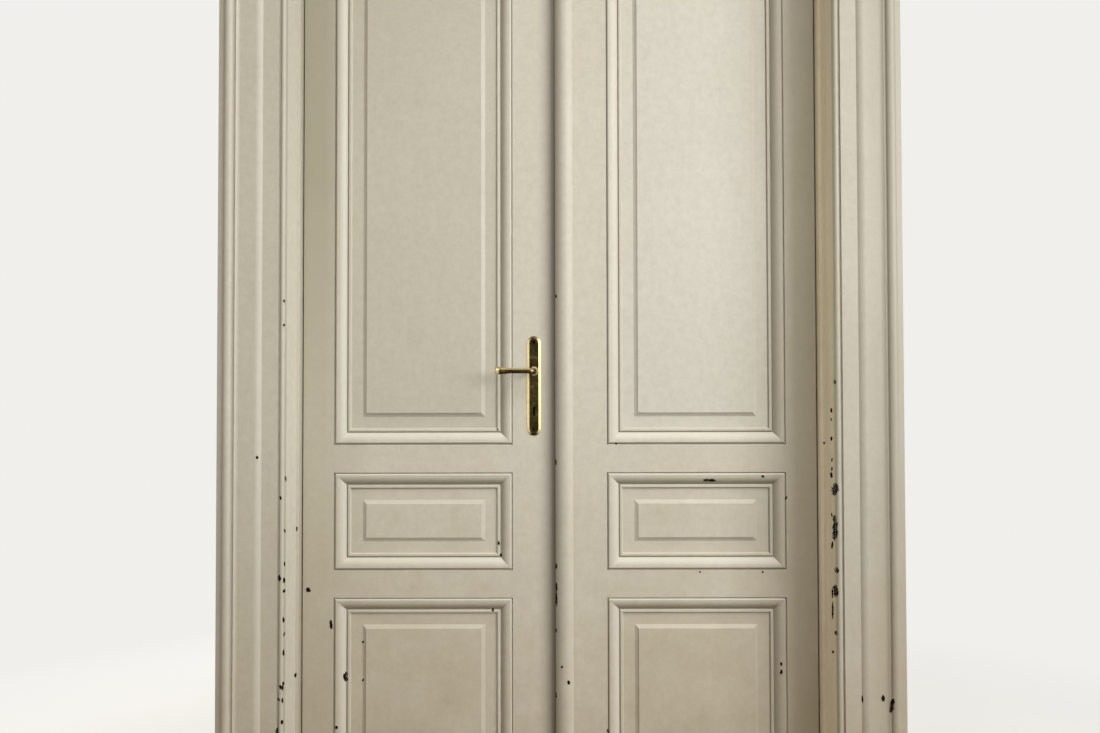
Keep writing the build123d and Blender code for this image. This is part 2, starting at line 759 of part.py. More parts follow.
def knuckle(side, level, lower):
    """Half of a lift-off hinge: its knuckle, its turned end and its plate in the gap."""
    axis_x = side * AXIS_X
    foot = level - KNUCKLE_LENGTH
    head = level + KNUCKLE_GAP + KNUCKLE_LENGTH
    span = (foot, level) if lower else (level + KNUCKLE_GAP, head)
    plate_outer = REBATE_EDGE if lower else LIP_EDGE + HINGE_PLATE
    plate = (side * (plate_outer - HINGE_PLATE), side * plate_outer)
    finial = finial_section(foot, -1) if lower else finial_section(head, 1)
    with BuildPart() as half:
        cylinder_between((axis_x, AXIS_Y), KNUCKLE_RADIUS, span)
        with BuildSketch(Plane(origin=(axis_x, AXIS_Y, 0), x_dir=(1, 0, 0), z_dir=(0, -1, 0))):
            add(finial)
        revolve(axis=Axis((axis_x, AXIS_Y, 0), (0, 0, 1)))
        block(plate, (FAR_EDGE - PLATE_WIDTH, FAR_EDGE), (foot, head))
        block(plate, (FAR_EDGE, AXIS_Y - KNUCKLE_RADIUS / 2), span)
        if lower:
            cylinder_between((axis_x, AXIS_Y), PIN_RADIUS, (level - PIN_SEAT, level), Mode.SUBTRACT)
        else:
            bore = (span[0], level + PIN_REACH + PIN_SEAT / 2)
            cylinder_between((axis_x, AXIS_Y), PIN_RADIUS + RUNNING_CLEARANCE, bore, Mode.SUBTRACT)
    return half.part


def hinge_halves(sides, lower):
    """The same half of every hinge on the given sides."""
    return Compound(children=[knuckle(s, level, lower) for s in sides for level in HINGE_LEVELS])


def hinge_pins():
    """The six pins, fast in the lower knuckles, that the leaves hang and turn on."""
    pins = []
    for side in (LEFT, RIGHT):
        for level in HINGE_LEVELS:
            with BuildPart() as pin:
                centre = (side * AXIS_X, AXIS_Y)
                cylinder_between(centre, PIN_RADIUS, (level - PIN_SEAT, level + PIN_REACH))
            pins.append(pin.part)
    return Compound(children=pins)


# The lock


def bolt_window(x_span, level, height, clearance):
    """Cuts a bolt's window through a plate or wall."""
    block(
        x_span,
        about(LEAF_MIDDLE, SLIDE_THICKNESS + 2 * clearance),
        about(level, height + 2 * clearance),
        Mode.SUBTRACT,
    )


def lock_case():
    """The mortise lock's case, open at the front for both bolts."""
    back = CASE_FRONT + CASE_DEPTH
    front_wall = (-CASE_FRONT, -CASE_FRONT - CASE_WALL)
    with BuildPart() as case:
        block((-CASE_FRONT, -back), about(LEAF_MIDDLE, CASE_THICKNESS), about(LOCK_LEVEL, CASE_HEIGHT))
        block(
            (-CASE_FRONT - CASE_WALL, -back + CASE_WALL),
            about(LEAF_MIDDLE, CASE_ROOM),
            about(LOCK_LEVEL, CASE_HEIGHT - 2 * CASE_WALL),
            Mode.SUBTRACT,
        )
        bolt_window(front_wall, LATCH_LEVEL, LATCH_HEIGHT, SLIDE_CLEARANCE)
        bolt_window(front_wall, BOLT_LEVEL, BOLT_HEIGHT, SLIDE_CLEARANCE)
        with BuildSketch(Plane.XZ.offset(-LEAF_MIDDLE)):
            with Locations((SPINDLE_X, LEVER_HEIGHT)):
                Circle(SPINDLE_SIZE)
        extrude(amount=CASE_THICKNESS, both=True, mode=Mode.SUBTRACT)
        keyhole_cut(LEAF_MIDDLE + CASE_THICKNESS / 2, CASE_THICKNESS)
    return case.part


def lock_faceplate():
    """The plate let into the leaf's edge, with a window for each bolt."""
    x_span = (-MEETING_EDGE, -CASE_FRONT)
    with BuildPart() as plate:
        block(x_span, about(LEAF_MIDDLE, FACEPLATE_WIDTH), about(LOCK_LEVEL, FACEPLATE_HEIGHT))
        bolt_window(x_span, LATCH_LEVEL, LATCH_HEIGHT, SLIDE_CLEARANCE)
        bolt_window(x_span, BOLT_LEVEL, BOLT_HEIGHT, SLIDE_CLEARANCE)
    return plate.part


def strike_plate():
    """The plate in the right leaf's edge that the bolts catch in."""
    x_span = (MEETING_EDGE, MEETING_EDGE + STRIKE_THICKNESS)
    with BuildPart() as plate:
        block(x_span, about(LEAF_MIDDLE, FACEPLATE_WIDTH), about(LOCK_LEVEL, STRIKE_HEIGHT))
        bolt_window(x_span, LATCH_LEVEL, LATCH_HEIGHT, WINDOW_CLEARANCE)
        bolt_window(x_span, BOLT_LEVEL, BOLT_HEIGHT, WINDOW_CLEARANCE)
    return plate.part


def latch_bolt():
    """The bevelled spring bolt, with the tail and lug that the follower's arm draws back."""
    tip = LATCH_THROW - MEETING_EDGE
    rear = -MEETING_EDGE - LATCH_BODY
    near_y, far_y = about(LEAF_MIDDLE, SLIDE_THICKNESS)
    lug_front = SPINDLE_X - ARM_WIDTH / 2 - TAIL_CLEARANCE
    lug_back = lug_front - LUG_WIDTH
    tail_foot = LEVER_HEIGHT + ARM_REACH + TAIL_CLEARANCE + SLIDE_CLEARANCE
    tail_head = tail_foot + TAIL_HEIGHT
    lug_foot = LEVER_HEIGHT + FOLLOWER_RADIUS + SLIDE_CLEARANCE
    with BuildPart() as latch:
        with BuildSketch(Plane.XY.offset(LATCH_LEVEL - LATCH_HEIGHT / 2)):
            with BuildLine():
                Polyline(
                    (rear, near_y),
                    (-MEETING_EDGE, near_y),
                    (tip, far_y - LATCH_NOSE),
                    (tip, far_y),
                    (rear, far_y),
                    close=True,
                )
            make_face()
        extrude(amount=LATCH_HEIGHT)
        block((rear, lug_back), (near_y, far_y), (tail_foot, tail_head))
        block((lug_front, lug_back), (near_y, far_y), (lug_foot, tail_head))
    return latch.part


def dead_bolt():
    """The square bolt that the key throws, drawn back flush with the faceplate."""
    with BuildPart() as bolt:
        block(
            (-MEETING_EDGE, -MEETING_EDGE - BOLT_LENGTH),
            about(LEAF_MIDDLE, SLIDE_THICKNESS),
            about(BOLT_LEVEL, BOLT_HEIGHT),
        )
    return bolt.part


def lock_follower():
    """The hub in the case that the spindle turns, with the arm that draws the latch."""
    with BuildPart() as hub:
        with BuildSketch(Plane.XZ.offset(-LEAF_MIDDLE)):
            with Locations((SPINDLE_X, LEVER_HEIGHT)):
                Circle(FOLLOWER_RADIUS)
            with Locations((SPINDLE_X, LEVER_HEIGHT + ARM_REACH / 2)):
                Rectangle(ARM_WIDTH, ARM_REACH)
            with Locations((SPINDLE_X, LEVER_HEIGHT)):
                Rectangle(SPINDLE_SIZE, SPINDLE_SIZE, mode=Mode.SUBTRACT)
        extrude(amount=SLIDE_THICKNESS / 2, both=True)
    return hub.part


def spindle():
    """The square bar that joins both levers through the lock."""
    reach = LEAF_THICKNESS / 2 + SOCKET_DEPTH
    with BuildPart() as bar:
        block(
            about(SPINDLE_X, SPINDLE_SIZE),
            about(LEAF_MIDDLE, 2 * reach),
            about(LEVER_HEIGHT, SPINDLE_SIZE),
        )
    return bar.part


def backplate(face):
    """A long bevelled plate with rounded ends, bored for the lever's neck, key and screws."""
    height = PLATE_TOP + PLATE_BOTTOM
    middle = LEVER_HEIGHT + (PLATE_TOP - PLATE_BOTTOM) / 2
    plane = face_plane(SPINDLE_X, middle, face)
    outer_y = plane.origin.Y + face * BACKPLATE_THICKNESS
    with BuildPart() as plate:
        with BuildSketch(plane):
            SlotOverall(height, BACKPLATE_WIDTH, rotation=90)
        extrude(amount=BACKPLATE_THICKNESS)
        rim = plate.faces().sort_by(Axis.Y)[-1 if face == FAR else 0]
        chamfer(rim.edges(), length=BACKPLATE_BEVEL / 2, length2=BACKPLATE_BEVEL)
        with BuildSketch(face_plane(SPINDLE_X, LEVER_HEIGHT, face)):
            Circle(NECK_RADIUS + RUNNING_CLEARANCE)
        extrude(amount=BACKPLATE_THICKNESS, mode=Mode.SUBTRACT)
        keyhole_cut(max(outer_y, plane.origin.Y), BACKPLATE_THICKNESS)
        for level in screw_levels():
            with BuildSketch(face_plane(SPINDLE_X, level, face)):
                Circle(SCREW_RADIUS + SCREW_CLEARANCE)
            with BuildSketch(face_plane(SPINDLE_X, level, face, BACKPLATE_THICKNESS)):
                Circle(SCREW_HEAD_RADIUS + SCREW_CLEARANCE)
            loft(mode=Mode.SUBTRACT)
    return plate.part


def backplate_screws():
    """The four countersunk screws that hold the long plates."""
    screws = []
    for face in (NEAR, FAR):
        for level in screw_levels():
            with BuildPart() as screw:
                with BuildSketch(face_plane(SPINDLE_X, level, face)):
                    Circle(SCREW_RADIUS)
                with BuildSketch(face_plane(SPINDLE_X, level, face, BACKPLATE_THICKNESS)):
                    Circle(SCREW_HEAD_RADIUS)
                loft()
                with BuildSketch(face_plane(SPINDLE_X, level, face)):
                    Circle(SCREW_RADIUS)
                extrude(amount=-SCREW_LENGTH + BACKPLATE_THICKNESS)
            screws.append(screw.part)
    return Compound(children=screws)


def neck_section():
    """Half of the lever's neck: out from the leaf's face to the start of the bend."""
    collar_foot = BACKPLATE_THICKNESS + COLLAR_GAP
    collar_head = collar_foot + COLLAR_HEIGHT
    end = GRIP_STANDOFF - BEND_RADIUS
    with BuildSketch() as section:
        with BuildLine():
            Polyline(
                (0, COLLAR_GAP),
                (NECK_RADIUS, COLLAR_GAP),
                (NECK_RADIUS, collar_foot),
                (COLLAR_RADIUS, collar_foot),
                (COLLAR_RADIUS, collar_head),
                (WAIST_RADIUS, collar_head),
                (GRIP_RADIUS, end),
                (0, end),
                close=True,
            )
        make_face()
    return section.sketch


def grip_section():
    """Half of the lever's grip: along from the end of the bend to its rounded tip."""
    ring = LEVER_LENGTH - CAP_LENGTH
    flare = ring - RING_WIDTH - FLARE_LENGTH
    groove_radius = FLARE_RADIUS - RING_GROOVE
    with BuildSketch() as section:
        with BuildLine():
            Polyline(
                (BEND_RADIUS, 0),
                (BEND_RADIUS, GRIP_RADIUS),
                (flare, GRIP_RADIUS),
                (ring - RING_WIDTH, FLARE_RADIUS),
                (ring - RING_WIDTH, groove_radius),
                (ring, groove_radius),
                (ring, FLARE_RADIUS),
                (LEVER_LENGTH - CAP_RISE, FLARE_RADIUS),
                (LEVER_LENGTH, CAP_FACE_RADIUS),
                (LEVER_LENGTH, 0),
                close=True,
            )
        make_face()
    return section.sketch


def lever(face):
    """A turned lever: its neck, the quarter bend and the grip that points to the hinges."""
    root = face_plane(SPINDLE_X, LEVER_HEIGHT, face).origin
    out = Vector(0, face, 0)
    bend_level = root + out * (GRIP_STANDOFF - BEND_RADIUS)
    grip_level = root + out * GRIP_STANDOFF
    with BuildPart() as handle:
        with BuildSketch(Plane(origin=root, x_dir=(1, 0, 0), z_dir=(0, 0, face))):
            add(neck_section())
        revolve(axis=Axis(root, out))
        with BuildSketch(Plane(origin=bend_level, x_dir=(0, 0, 1), z_dir=out)):
            Circle(GRIP_RADIUS)
        revolve(axis=Axis(bend_level - Vector(BEND_RADIUS, 0, 0), (0, 0, face)), revolution_arc=90)
        with BuildSketch(Plane(origin=grip_level, x_dir=(-1, 0, 0), z_dir=(0, 0, -face))):
            add(grip_section())
        revolve(axis=Axis(grip_level, (-1, 0, 0)))
        with BuildSketch(face_plane(SPINDLE_X, LEVER_HEIGHT, face)):
            Rectangle(SPINDLE_SIZE, SPINDLE_SIZE)
        extrude(amount=SOCKET_DEPTH, mode=Mode.SUBTRACT)
    return handle.part


# The flush bolts

TOP = 1
BOTTOM = -1


def leaf_end(end):
    """The level of the right leaf's upper or lower edge."""
    return LEAF_TOP if end == TOP else LEAF_BOTTOM


def rod_span(end):
    """The span of a flush bolt's rod when it is drawn back into the leaf."""
    tip = leaf_end(end) - end * ROD_SET_BACK
    return (tip - end * ROD_LENGTH, tip)


def thumb_level(end):
    """The middle of a flush bolt's thumb piece when the bolt is drawn back."""
    return rod_span(end)[0] + end * THUMB_INSET


def slot_span(end):
    """The length of the slot that the thumb piece travels along."""
    level = thumb_level(end)
    reach = THUMB_HEIGHT / 2 + THUMB_CLEARANCE
    return (level - end * reach, level + end * (reach + ROD_THROW))


def edge_plate_span(end):
    """The length of the edge plate, about the middle of its slot."""
    return about(sum(slot_span(end)) / 2, EDGE_PLATE_LENGTH)


def flush_bolt_cut(end):
    """Bores the rod's channel and sinks the seats for the edge plate and thumb piece."""
    slot_width = THUMB_WIDTH + 2 * THUMB_CLEARANCE
    channel = (rod_span(end)[0] - end * ROD_SET_BACK, leaf_end(end))
    plate_back = MEETING_EDGE + EDGE_PLATE_THICKNESS
    cylinder_between((ROD_X, ROD_Y), ROD_RADIUS + ROD_CLEARANCE, channel, Mode.SUBTRACT)
    block((plate_back, ROD_X), about(ROD_Y, slot_width), slot_span(end), Mode.SUBTRACT)
    block(
        (MEETING_EDGE, plate_back),
        about(ROD_Y, EDGE_PLATE_WIDTH),
        edge_plate_span(end),
        Mode.SUBTRACT,
    )


def flush_bolt(end):
    """A round rod with the thumb piece that slides it, reaching out to the plate's face."""
    with BuildPart() as bolt:
        cylinder_between((ROD_X, ROD_Y), ROD_RADIUS, rod_span(end))
        block(
            (MEETING_EDGE + THUMB_CLEARANCE, ROD_X),
            about(ROD_Y, THUMB_WIDTH),
            about(thumb_level(end), THUMB_HEIGHT),
        )
    return bolt.part


def flush_bolt_plates():
    """The two slotted plates in the edge of the right leaf."""
    plates = []
    x_span = (MEETING_EDGE, MEETING_EDGE + EDGE_PLATE_THICKNESS)
    slot = about(ROD_Y, THUMB_WIDTH + 2 * THUMB_CLEARANCE)
    for end in (TOP, BOTTOM):
        with BuildPart() as plate:
            block(x_span, about(ROD_Y, EDGE_PLATE_WIDTH), edge_plate_span(end))
            block(x_span, slot, slot_span(end), Mode.SUBTRACT)
        plates.append(plate.part)
    return Compound(children=plates)


os.makedirs("parts", exist_ok=True)

for side, word in ((LEFT, "left"), (RIGHT, "right")):
    save(f"reveal_board_{word}", reveal_board(side))
    save(f"frame_post_{word}", frame_post(side))
    save(f"near_architrave_{word}", side_architrave(side, NEAR, 0.0))
    save(f"far_architrave_{word}", side_architrave(side, FAR, FAR_SET_BACK))
    save(f"{word}_hinge_stile", hinge_stile(side))
    save(f"{word}_top_rail", rail(side, (UPPER_PANEL_HEAD, LEAF_TOP), LIP_TOP - LEAF_TOP))
    save(f"{word}_lock_rail", rail(side, (MIDDLE_PANEL_HEAD, UPPER_PANEL_FOOT)))
    save(f"{word}_lower_rail", rail(side, (LOWER_PANEL_HEAD, MIDDLE_PANEL_FOOT)))
    save(f"{word}_bottom_rail", rail(side, (LEAF_BOTTOM, LOWER_PANEL_FOOT)))
    for panel_name, z_span in PANEL_SPANS.items():
        save(f"{word}_{panel_name}_panel", raised_panel(side, z_span))
    save(f"{word}_near_mouldings", mouldings(side, NEAR))
    save(f"{word}_far_mouldings", mouldings(side, FAR))
    save(f"{word}_leaf_hinge_halves", hinge_halves((side,), lower=False))

save("reveal_board_head", head_reveal_board())
save("frame_head", frame_head())
save("threshold", threshold())
save("near_architrave_head", head_architrave(NEAR, 0.0))
save("far_architrave_head", head_architrave(FAR, FAR_SET_BACK))
save("frame_hinge_halves", hinge_halves((LEFT, RIGHT), lower=True))
save("hinge_pins", hinge_pins())
save("bolt_keepers", bolt_keepers())
save("left_meeting_stile", left_meeting_stile())
save("right_meeting_stile", right_meeting_stile())
save("left_far_cover_strip", cover_strip(LEFT, FAR))
save("right_near_cover_strip", cover_strip(RIGHT, NEAR))
save("lock_case", lock_case())
save("lock_faceplate", lock_faceplate())
save("strike_plate", strike_plate())
save("latch_bolt", latch_bolt())
save("dead_bolt", dead_bolt())
save("lock_follower", lock_follower())
save("spindle", spindle())
save("near_backplate", backplate(NEAR))
save("far_backplate", backplate(FAR))
save("backplate_screws", backplate_screws())
save("near_lever", lever(NEAR))
save("far_lever", lever(FAR))
save("top_bolt", flush_bolt(TOP))
save("bottom_bolt", flush_bolt(BOTTOM))
save("flush_bolt_plates", flush_bolt_plates())
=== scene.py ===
import json
import math
import random
from collections import namedtuple

import bmesh
import bpy
from mathutils import Matrix, Vector
from mathutils.bvhtree import BVHTree

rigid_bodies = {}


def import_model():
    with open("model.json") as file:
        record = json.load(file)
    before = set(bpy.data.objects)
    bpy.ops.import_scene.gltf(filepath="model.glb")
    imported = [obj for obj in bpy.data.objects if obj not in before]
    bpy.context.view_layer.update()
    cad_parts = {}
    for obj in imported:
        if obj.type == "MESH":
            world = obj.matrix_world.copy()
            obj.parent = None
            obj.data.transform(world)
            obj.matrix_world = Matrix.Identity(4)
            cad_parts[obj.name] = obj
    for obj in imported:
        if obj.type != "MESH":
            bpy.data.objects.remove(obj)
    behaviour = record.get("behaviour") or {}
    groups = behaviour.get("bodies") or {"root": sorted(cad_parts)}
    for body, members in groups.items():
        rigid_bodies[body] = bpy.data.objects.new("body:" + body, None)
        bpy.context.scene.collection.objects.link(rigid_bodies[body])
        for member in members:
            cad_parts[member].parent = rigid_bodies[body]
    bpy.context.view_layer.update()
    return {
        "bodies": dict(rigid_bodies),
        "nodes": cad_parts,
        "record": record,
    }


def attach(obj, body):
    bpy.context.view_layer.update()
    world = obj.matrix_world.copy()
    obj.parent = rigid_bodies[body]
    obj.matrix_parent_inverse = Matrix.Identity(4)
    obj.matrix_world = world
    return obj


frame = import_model()

# A pair of old painted doors in their lining. Everything is in metres, in the frame of the
# CAD model: X to the right, Y away from the camera, Z up, floor at zero.

# The photograph's frame and the camera that took it, fitted to measured corners of the doors
PHOTO_WIDTH = 1100
PHOTO_HEIGHT = 733
FOCAL_PIXELS = 967.4
SENSOR_MM = 36.0
CAMERA_PLACE = (-0.0174, -2.2522, 1.0873)
CAMERA_PITCH = math.radians(1.336)
CAMERA_YAW = math.radians(0.133)
CAMERA_ROLL = math.radians(0.113)

# The lamps: a window's soft light from the right, weaker ones from above and the left, and
# one in the room behind. The size is in metres and the power in watts.
Lamp = namedtuple("Lamp", "name place target size power colour")

LAMPS = (
    Lamp(
        "window",
        place=(3.2, -3.4, 2.4),
        target=(0.1, 0.05, 1.1),
        size=(3.0, 2.0),
        power=152,
        colour=(0.965, 0.985, 1.0),
    ),
    Lamp(
        "ceiling",
        place=(0.4, -3.0, 4.6),
        target=(0.0, 0.0, 0.9),
        size=(3.0, 2.0),
        power=92,
        colour=(1.0, 0.99, 0.97),
    ),
    Lamp(
        "far_wall",
        place=(-6.0, -4.0, 1.7),
        target=(0.3, 0.0, 1.1),
        size=(3.0, 2.4),
        power=42,
        colour=(1.0, 0.97, 0.92),
    ),
    Lamp(
        "room_behind",
        place=(-2.4, 3.9, 2.6),
        target=(0.0, 0.1, 1.1),
        size=(3.0, 2.0),
        power=190,
        colour=(1.0, 0.99, 0.97),
    ),
)

# The surrounding's light: its strength from below and from straight above, and the height of
# the direction, from minus one to one, at which it starts to grow
AMBIENT_COLOUR = (1.0, 0.985, 0.95, 1.0)
AMBIENT_BELOW = 0.04
AMBIENT_ABOVE = 0.46
AMBIENT_START = -0.6

# How far the floor reaches, and between which distances it fades into the background
FLOOR_REACH = 6.0
FLOOR_FADE = (1.0, 2.6)


def srgb(red, green, blue):
    """A linear colour from eight-bit values as a screen shows them."""
    channels = []
    for value in (red, green, blue):
        value /= 255
        channels.append(value / 12.92 if value <= 0.04045 else ((value + 0.055) / 1.055) ** 2.4)
    return (*channels, 1.0)


# The background, the floor as it is seen, and the darker floor that throws light back
BACKGROUND = srgb(240, 239, 236)
FLOOR = srgb(228, 226, 221)
FLOOR_LIGHT = srgb(232, 230, 225)
FLOOR_BOUNCE = srgb(110, 101, 89)

# The paint's colours: a lighter and a darker one for each kind of place
# The left reveal's paler paint, made lighter still as painted window light
FRESH_CREAM = srgb(236, 232, 218)
FRESH_GREIGE = srgb(228, 223, 207)
CREAM = srgb(210, 204, 187)
GREIGE = srgb(201, 193, 173)
PALE_CREAM = srgb(210, 206, 192)
PALE_GREIGE = srgb(204, 198, 182)
PANEL_CREAM = srgb(204, 197, 178)
PANEL_GREIGE = srgb(195, 187, 167)
UPPER_CREAM = srgb(198, 192, 174)
UPPER_GREIGE = srgb(190, 183, 164)
TRIM_CREAM = srgb(197, 191, 173)
TRIM_GREIGE = srgb(188, 181, 161)
DULL_CREAM = srgb(192, 186, 170)
DULL_GREIGE = srgb(182, 174, 156)
# The right reveal's tan: painted warm light, made bright to lift the shade there
TAN = srgb(244, 232, 206)
TAN_STREAK = srgb(218, 202, 170)

# What age and dirt turn the paint to, the painted light and shade that it carries, and the pale
# broken edge of the paint
# Browning, which is also the colour of the painted shade at the right hinge and the right
# architrave's edge
BROWNED = srgb(165, 158, 138)
# The colour of the painted shade near the top
SMOKED = srgb(216, 212, 206)
# Painted light for faces turned up or to the window; a dark tone for the mottle, which is also
# painted shade on faces turned away
FADED = srgb(224, 219, 204)
SOOTY = srgb(118, 108, 88)
SOIL = srgb(152, 128, 95)
# Dirt and painted shade in grooves and corners, and the painted shadow beside the cover strip
CREVICE_DIRT = srgb(70, 60, 44)
BROKEN_EDGE = srgb(188, 178, 156)
BROKEN_EDGE_LIGHT = srgb(228, 222, 206)

# The metals. Brass has a ramp of dark tones where it is left alone, each with its place on
# the ramp, which are its patina and also a painted reflection of a dark room, and two bright
# ones where hands rub it, which also paint highlights.
BROWN_BRASS = ((0.3, srgb(32, 27, 15)), (0.55, srgb(68, 58, 33)), (0.78, srgb(116, 102, 64)))
# Near-black brass for the screws, which is also painted shade in the keyhole
BLACK_BRASS = ((0.3, srgb(12, 10, 6)), (0.6, srgb(24, 19, 11)), (0.85, srgb(70, 60, 36)))
# Rubbed brass, which is also the colour of painted highlights
RUBBED_BRASS = srgb(196, 172, 118)
RUBBED_BRASS_LIGHT = srgb(226, 208, 160)
# Darker brass in hollows and where a plate meets the wood
BRASS_DIRT = srgb(26, 20, 12)
OILED_STEEL = srgb(92, 86, 78)
STEEL = srgb(160, 157, 150)
STEEL_SCRATCH = srgb(120, 116, 108)

# The woods
OAK_DARK = srgb(92, 64, 38)
OAK = srgb(132, 96, 60)
OAK_LIGHT = srgb(160, 122, 80)
OAK_PORE = srgb(60, 42, 26)
OAK_WORN = srgb(168, 142, 108)
BARE_WOOD = srgb(38, 28, 20)
BARE_WOOD_DARK = srgb(8, 6, 5)

# Where the paint has come off: the middle, width and height of each chip, in the
# photograph's pixels. They are laid on the body that the list is named for.
Chip = namedtuple("Chip", "x y wide high")

CHIPS = {
    "frame": (
        Chip(284, 301, 1.4, 2.4),
        Chip(284, 325, 1.4, 2.4),
        Chip(257, 457.5, 1.8, 2.4),
        Chip(285.4, 478.5, 1.4, 4),
        Chip(280.6, 498, 1.5, 3),
        Chip(284.6, 531, 1.3, 3.2),
        Chip(296.7, 529, 1.2, 3.6),
        Chip(284.4, 564, 1.2, 3.2),
        Chip(279.5, 578, 2.2, 4.4),
        Chip(284, 580.3, 1.6, 4.6),
        Chip(283.9, 591, 1.8, 2.8),
        Chip(283.5, 620, 1.5, 4.2),
        Chip(284, 634, 1.1, 3.6),
        Chip(283.4, 652.5, 1.6, 4.8),
        Chip(295.3, 675, 1.7, 3.6),
        Chip(283.2, 683.5, 1.6, 3.4),
        Chip(280.4, 687, 1.6, 3.2),
        Chip(282.4, 688, 1.4, 4),
        Chip(278.8, 699.5, 2, 2.4),
        Chip(282.3, 700.5, 1.4, 3.6),
        Chip(282, 722, 1.9, 3.4),
        Chip(277, 731.5, 2.2, 6),
        Chip(834.8, 382, 2.2, 3.2),
        Chip(831.5, 410.3, 1.6, 3.4),
        Chip(831.3, 419.5, 1.1, 2.2),
        Chip(831.5, 438.7, 1.6, 3.2),
        Chip(824.2, 443, 1.8, 1.8),
        Chip(832, 460, 1.1, 3),
        Chip(832, 469, 1.3, 3),
        Chip(831.6, 475, 1.9, 4.2),
        Chip(835.2, 489.3, 5, 9.2),
        Chip(832, 515, 1.2, 3),
        Chip(834.8, 519, 2.6, 5.6),
        Chip(835.2, 526, 4, 7),
        Chip(835.4, 533.5, 4, 9.5),
        Chip(832.4, 545, 1.6, 5.4),
        Chip(836.8, 570.3, 3.2, 4.4),
        Chip(835.8, 591, 3.8, 9.6),
        Chip(832.6, 593, 1.2, 7.6),
        Chip(832.8, 611, 1.3, 13),
        Chip(836.2, 633, 2.3, 3.2),
        Chip(833.2, 652, 1.8, 2.2),
        Chip(862.4, 699, 1.4, 5.6),
        Chip(883.3, 698.3, 2.6, 5),
        Chip(892.4, 703, 3.4, 6.4),
        Chip(891.7, 708.5, 3.4, 5.6),
    ),
    "left_leaf": (
        Chip(308.2, 590, 3.6, 3.6),
        Chip(331.2, 624.8, 2.2, 6.6),
        Chip(345.4, 677.6, 3.4, 5.6),
        Chip(346.4, 674, 2.2, 3.4),
        Chip(363, 642, 1.5, 2),
        Chip(363, 680, 1.5, 2),
        Chip(336.4, 727.5, 2.8, 2.4),
        Chip(493, 610, 1.8, 2.6),
        Chip(498.7, 543, 1.8, 3),
        Chip(501, 555, 1.8, 3),
        Chip(497.5, 429.5, 1.6, 1.8),
    ),
    "right_leaf": (
        Chip(556.2, 296, 1.4, 3),
        Chip(555.8, 462, 1.5, 5),
        Chip(556.3, 566, 1.5, 4),
        Chip(556.5, 588, 1.6, 9),
        Chip(556.6, 599, 1.5, 11),
        Chip(556, 630, 1.5, 4),
        Chip(556, 695, 1.5, 5),
        Chip(562, 667, 1.6, 2),
        Chip(568.7, 682.6, 2.2, 3),
        Chip(616, 443.6, 2, 1.6),
        Chip(706.5, 480, 5, 2),
        Chip(711.5, 480.2, 6.5, 2.2),
        Chip(763, 476.5, 2.4, 1.8),
        Chip(786, 498, 1.8, 2.6),
        Chip(762.7, 572, 1.5, 1.6),
        Chip(700, 572, 1.5, 1.4),
        Chip(608, 731, 2, 3),
        Chip(781.3, 664, 1.6, 3),
        Chip(781.3, 672, 1.8, 3.4),
    ),
}


# The camera, the stage and the light


def aim_camera():
    """Makes the camera of the photograph and returns the turn that it stands at."""
    data = bpy.data.cameras.new("camera")
    data.sensor_width = SENSOR_MM
    data.lens = FOCAL_PIXELS * SENSOR_MM / PHOTO_WIDTH
    camera = bpy.data.objects.new("camera", data)
    camera.location = CAMERA_PLACE
    turn = Matrix.Rotation(CAMERA_YAW, 4, "Z")
    turn = turn @ Matrix.Rotation(math.pi / 2 + CAMERA_PITCH, 4, "X")
    turn = turn @ Matrix.Rotation(-CAMERA_ROLL, 4, "Z")
    camera.rotation_euler = turn.to_euler()
    bpy.context.scene.collection.objects.link(camera)
    bpy.context.scene.camera = camera
    return turn.to_3x3()


def hang_lamp(lamp):
    """Makes a rectangular soft lamp that faces its target."""
    data = bpy.data.lights.new(lamp.name, "AREA")
    data.shape = "RECTANGLE"
    data.size, data.size_y = lamp.size
    data.energy = lamp.power
    data.color = lamp.colour
    way = Vector(lamp.target) - Vector(lamp.place)
    hung = bpy.data.objects.new(lamp.name, data)
    hung.location = lamp.place
    hung.rotation_euler = way.to_track_quat("-Z", "Y").to_euler()
    bpy.context.scene.collection.objects.link(hung)


def seen_directly(tree):
    """One for a ray from the camera, a mirror or a glass, and nought for the rest."""
    path = tree.nodes.new("ShaderNodeLightPath")
    mirror = tree.nodes.new("ShaderNodeMath")
    mirror.operation = "MAXIMUM"
    either = tree.nodes.new("ShaderNodeMath")
    either.operation = "MAXIMUM"
    tree.links.new(path.outputs["Is Glossy Ray"], mirror.inputs[0])
    tree.links.new(path.outputs["Is Transmission Ray"], mirror.inputs[1])
    tree.links.new(path.outputs["Is Camera Ray"], either.inputs[0])
    tree.links.new(mirror.outputs[0], either.inputs[1])
    return either.outputs[0]


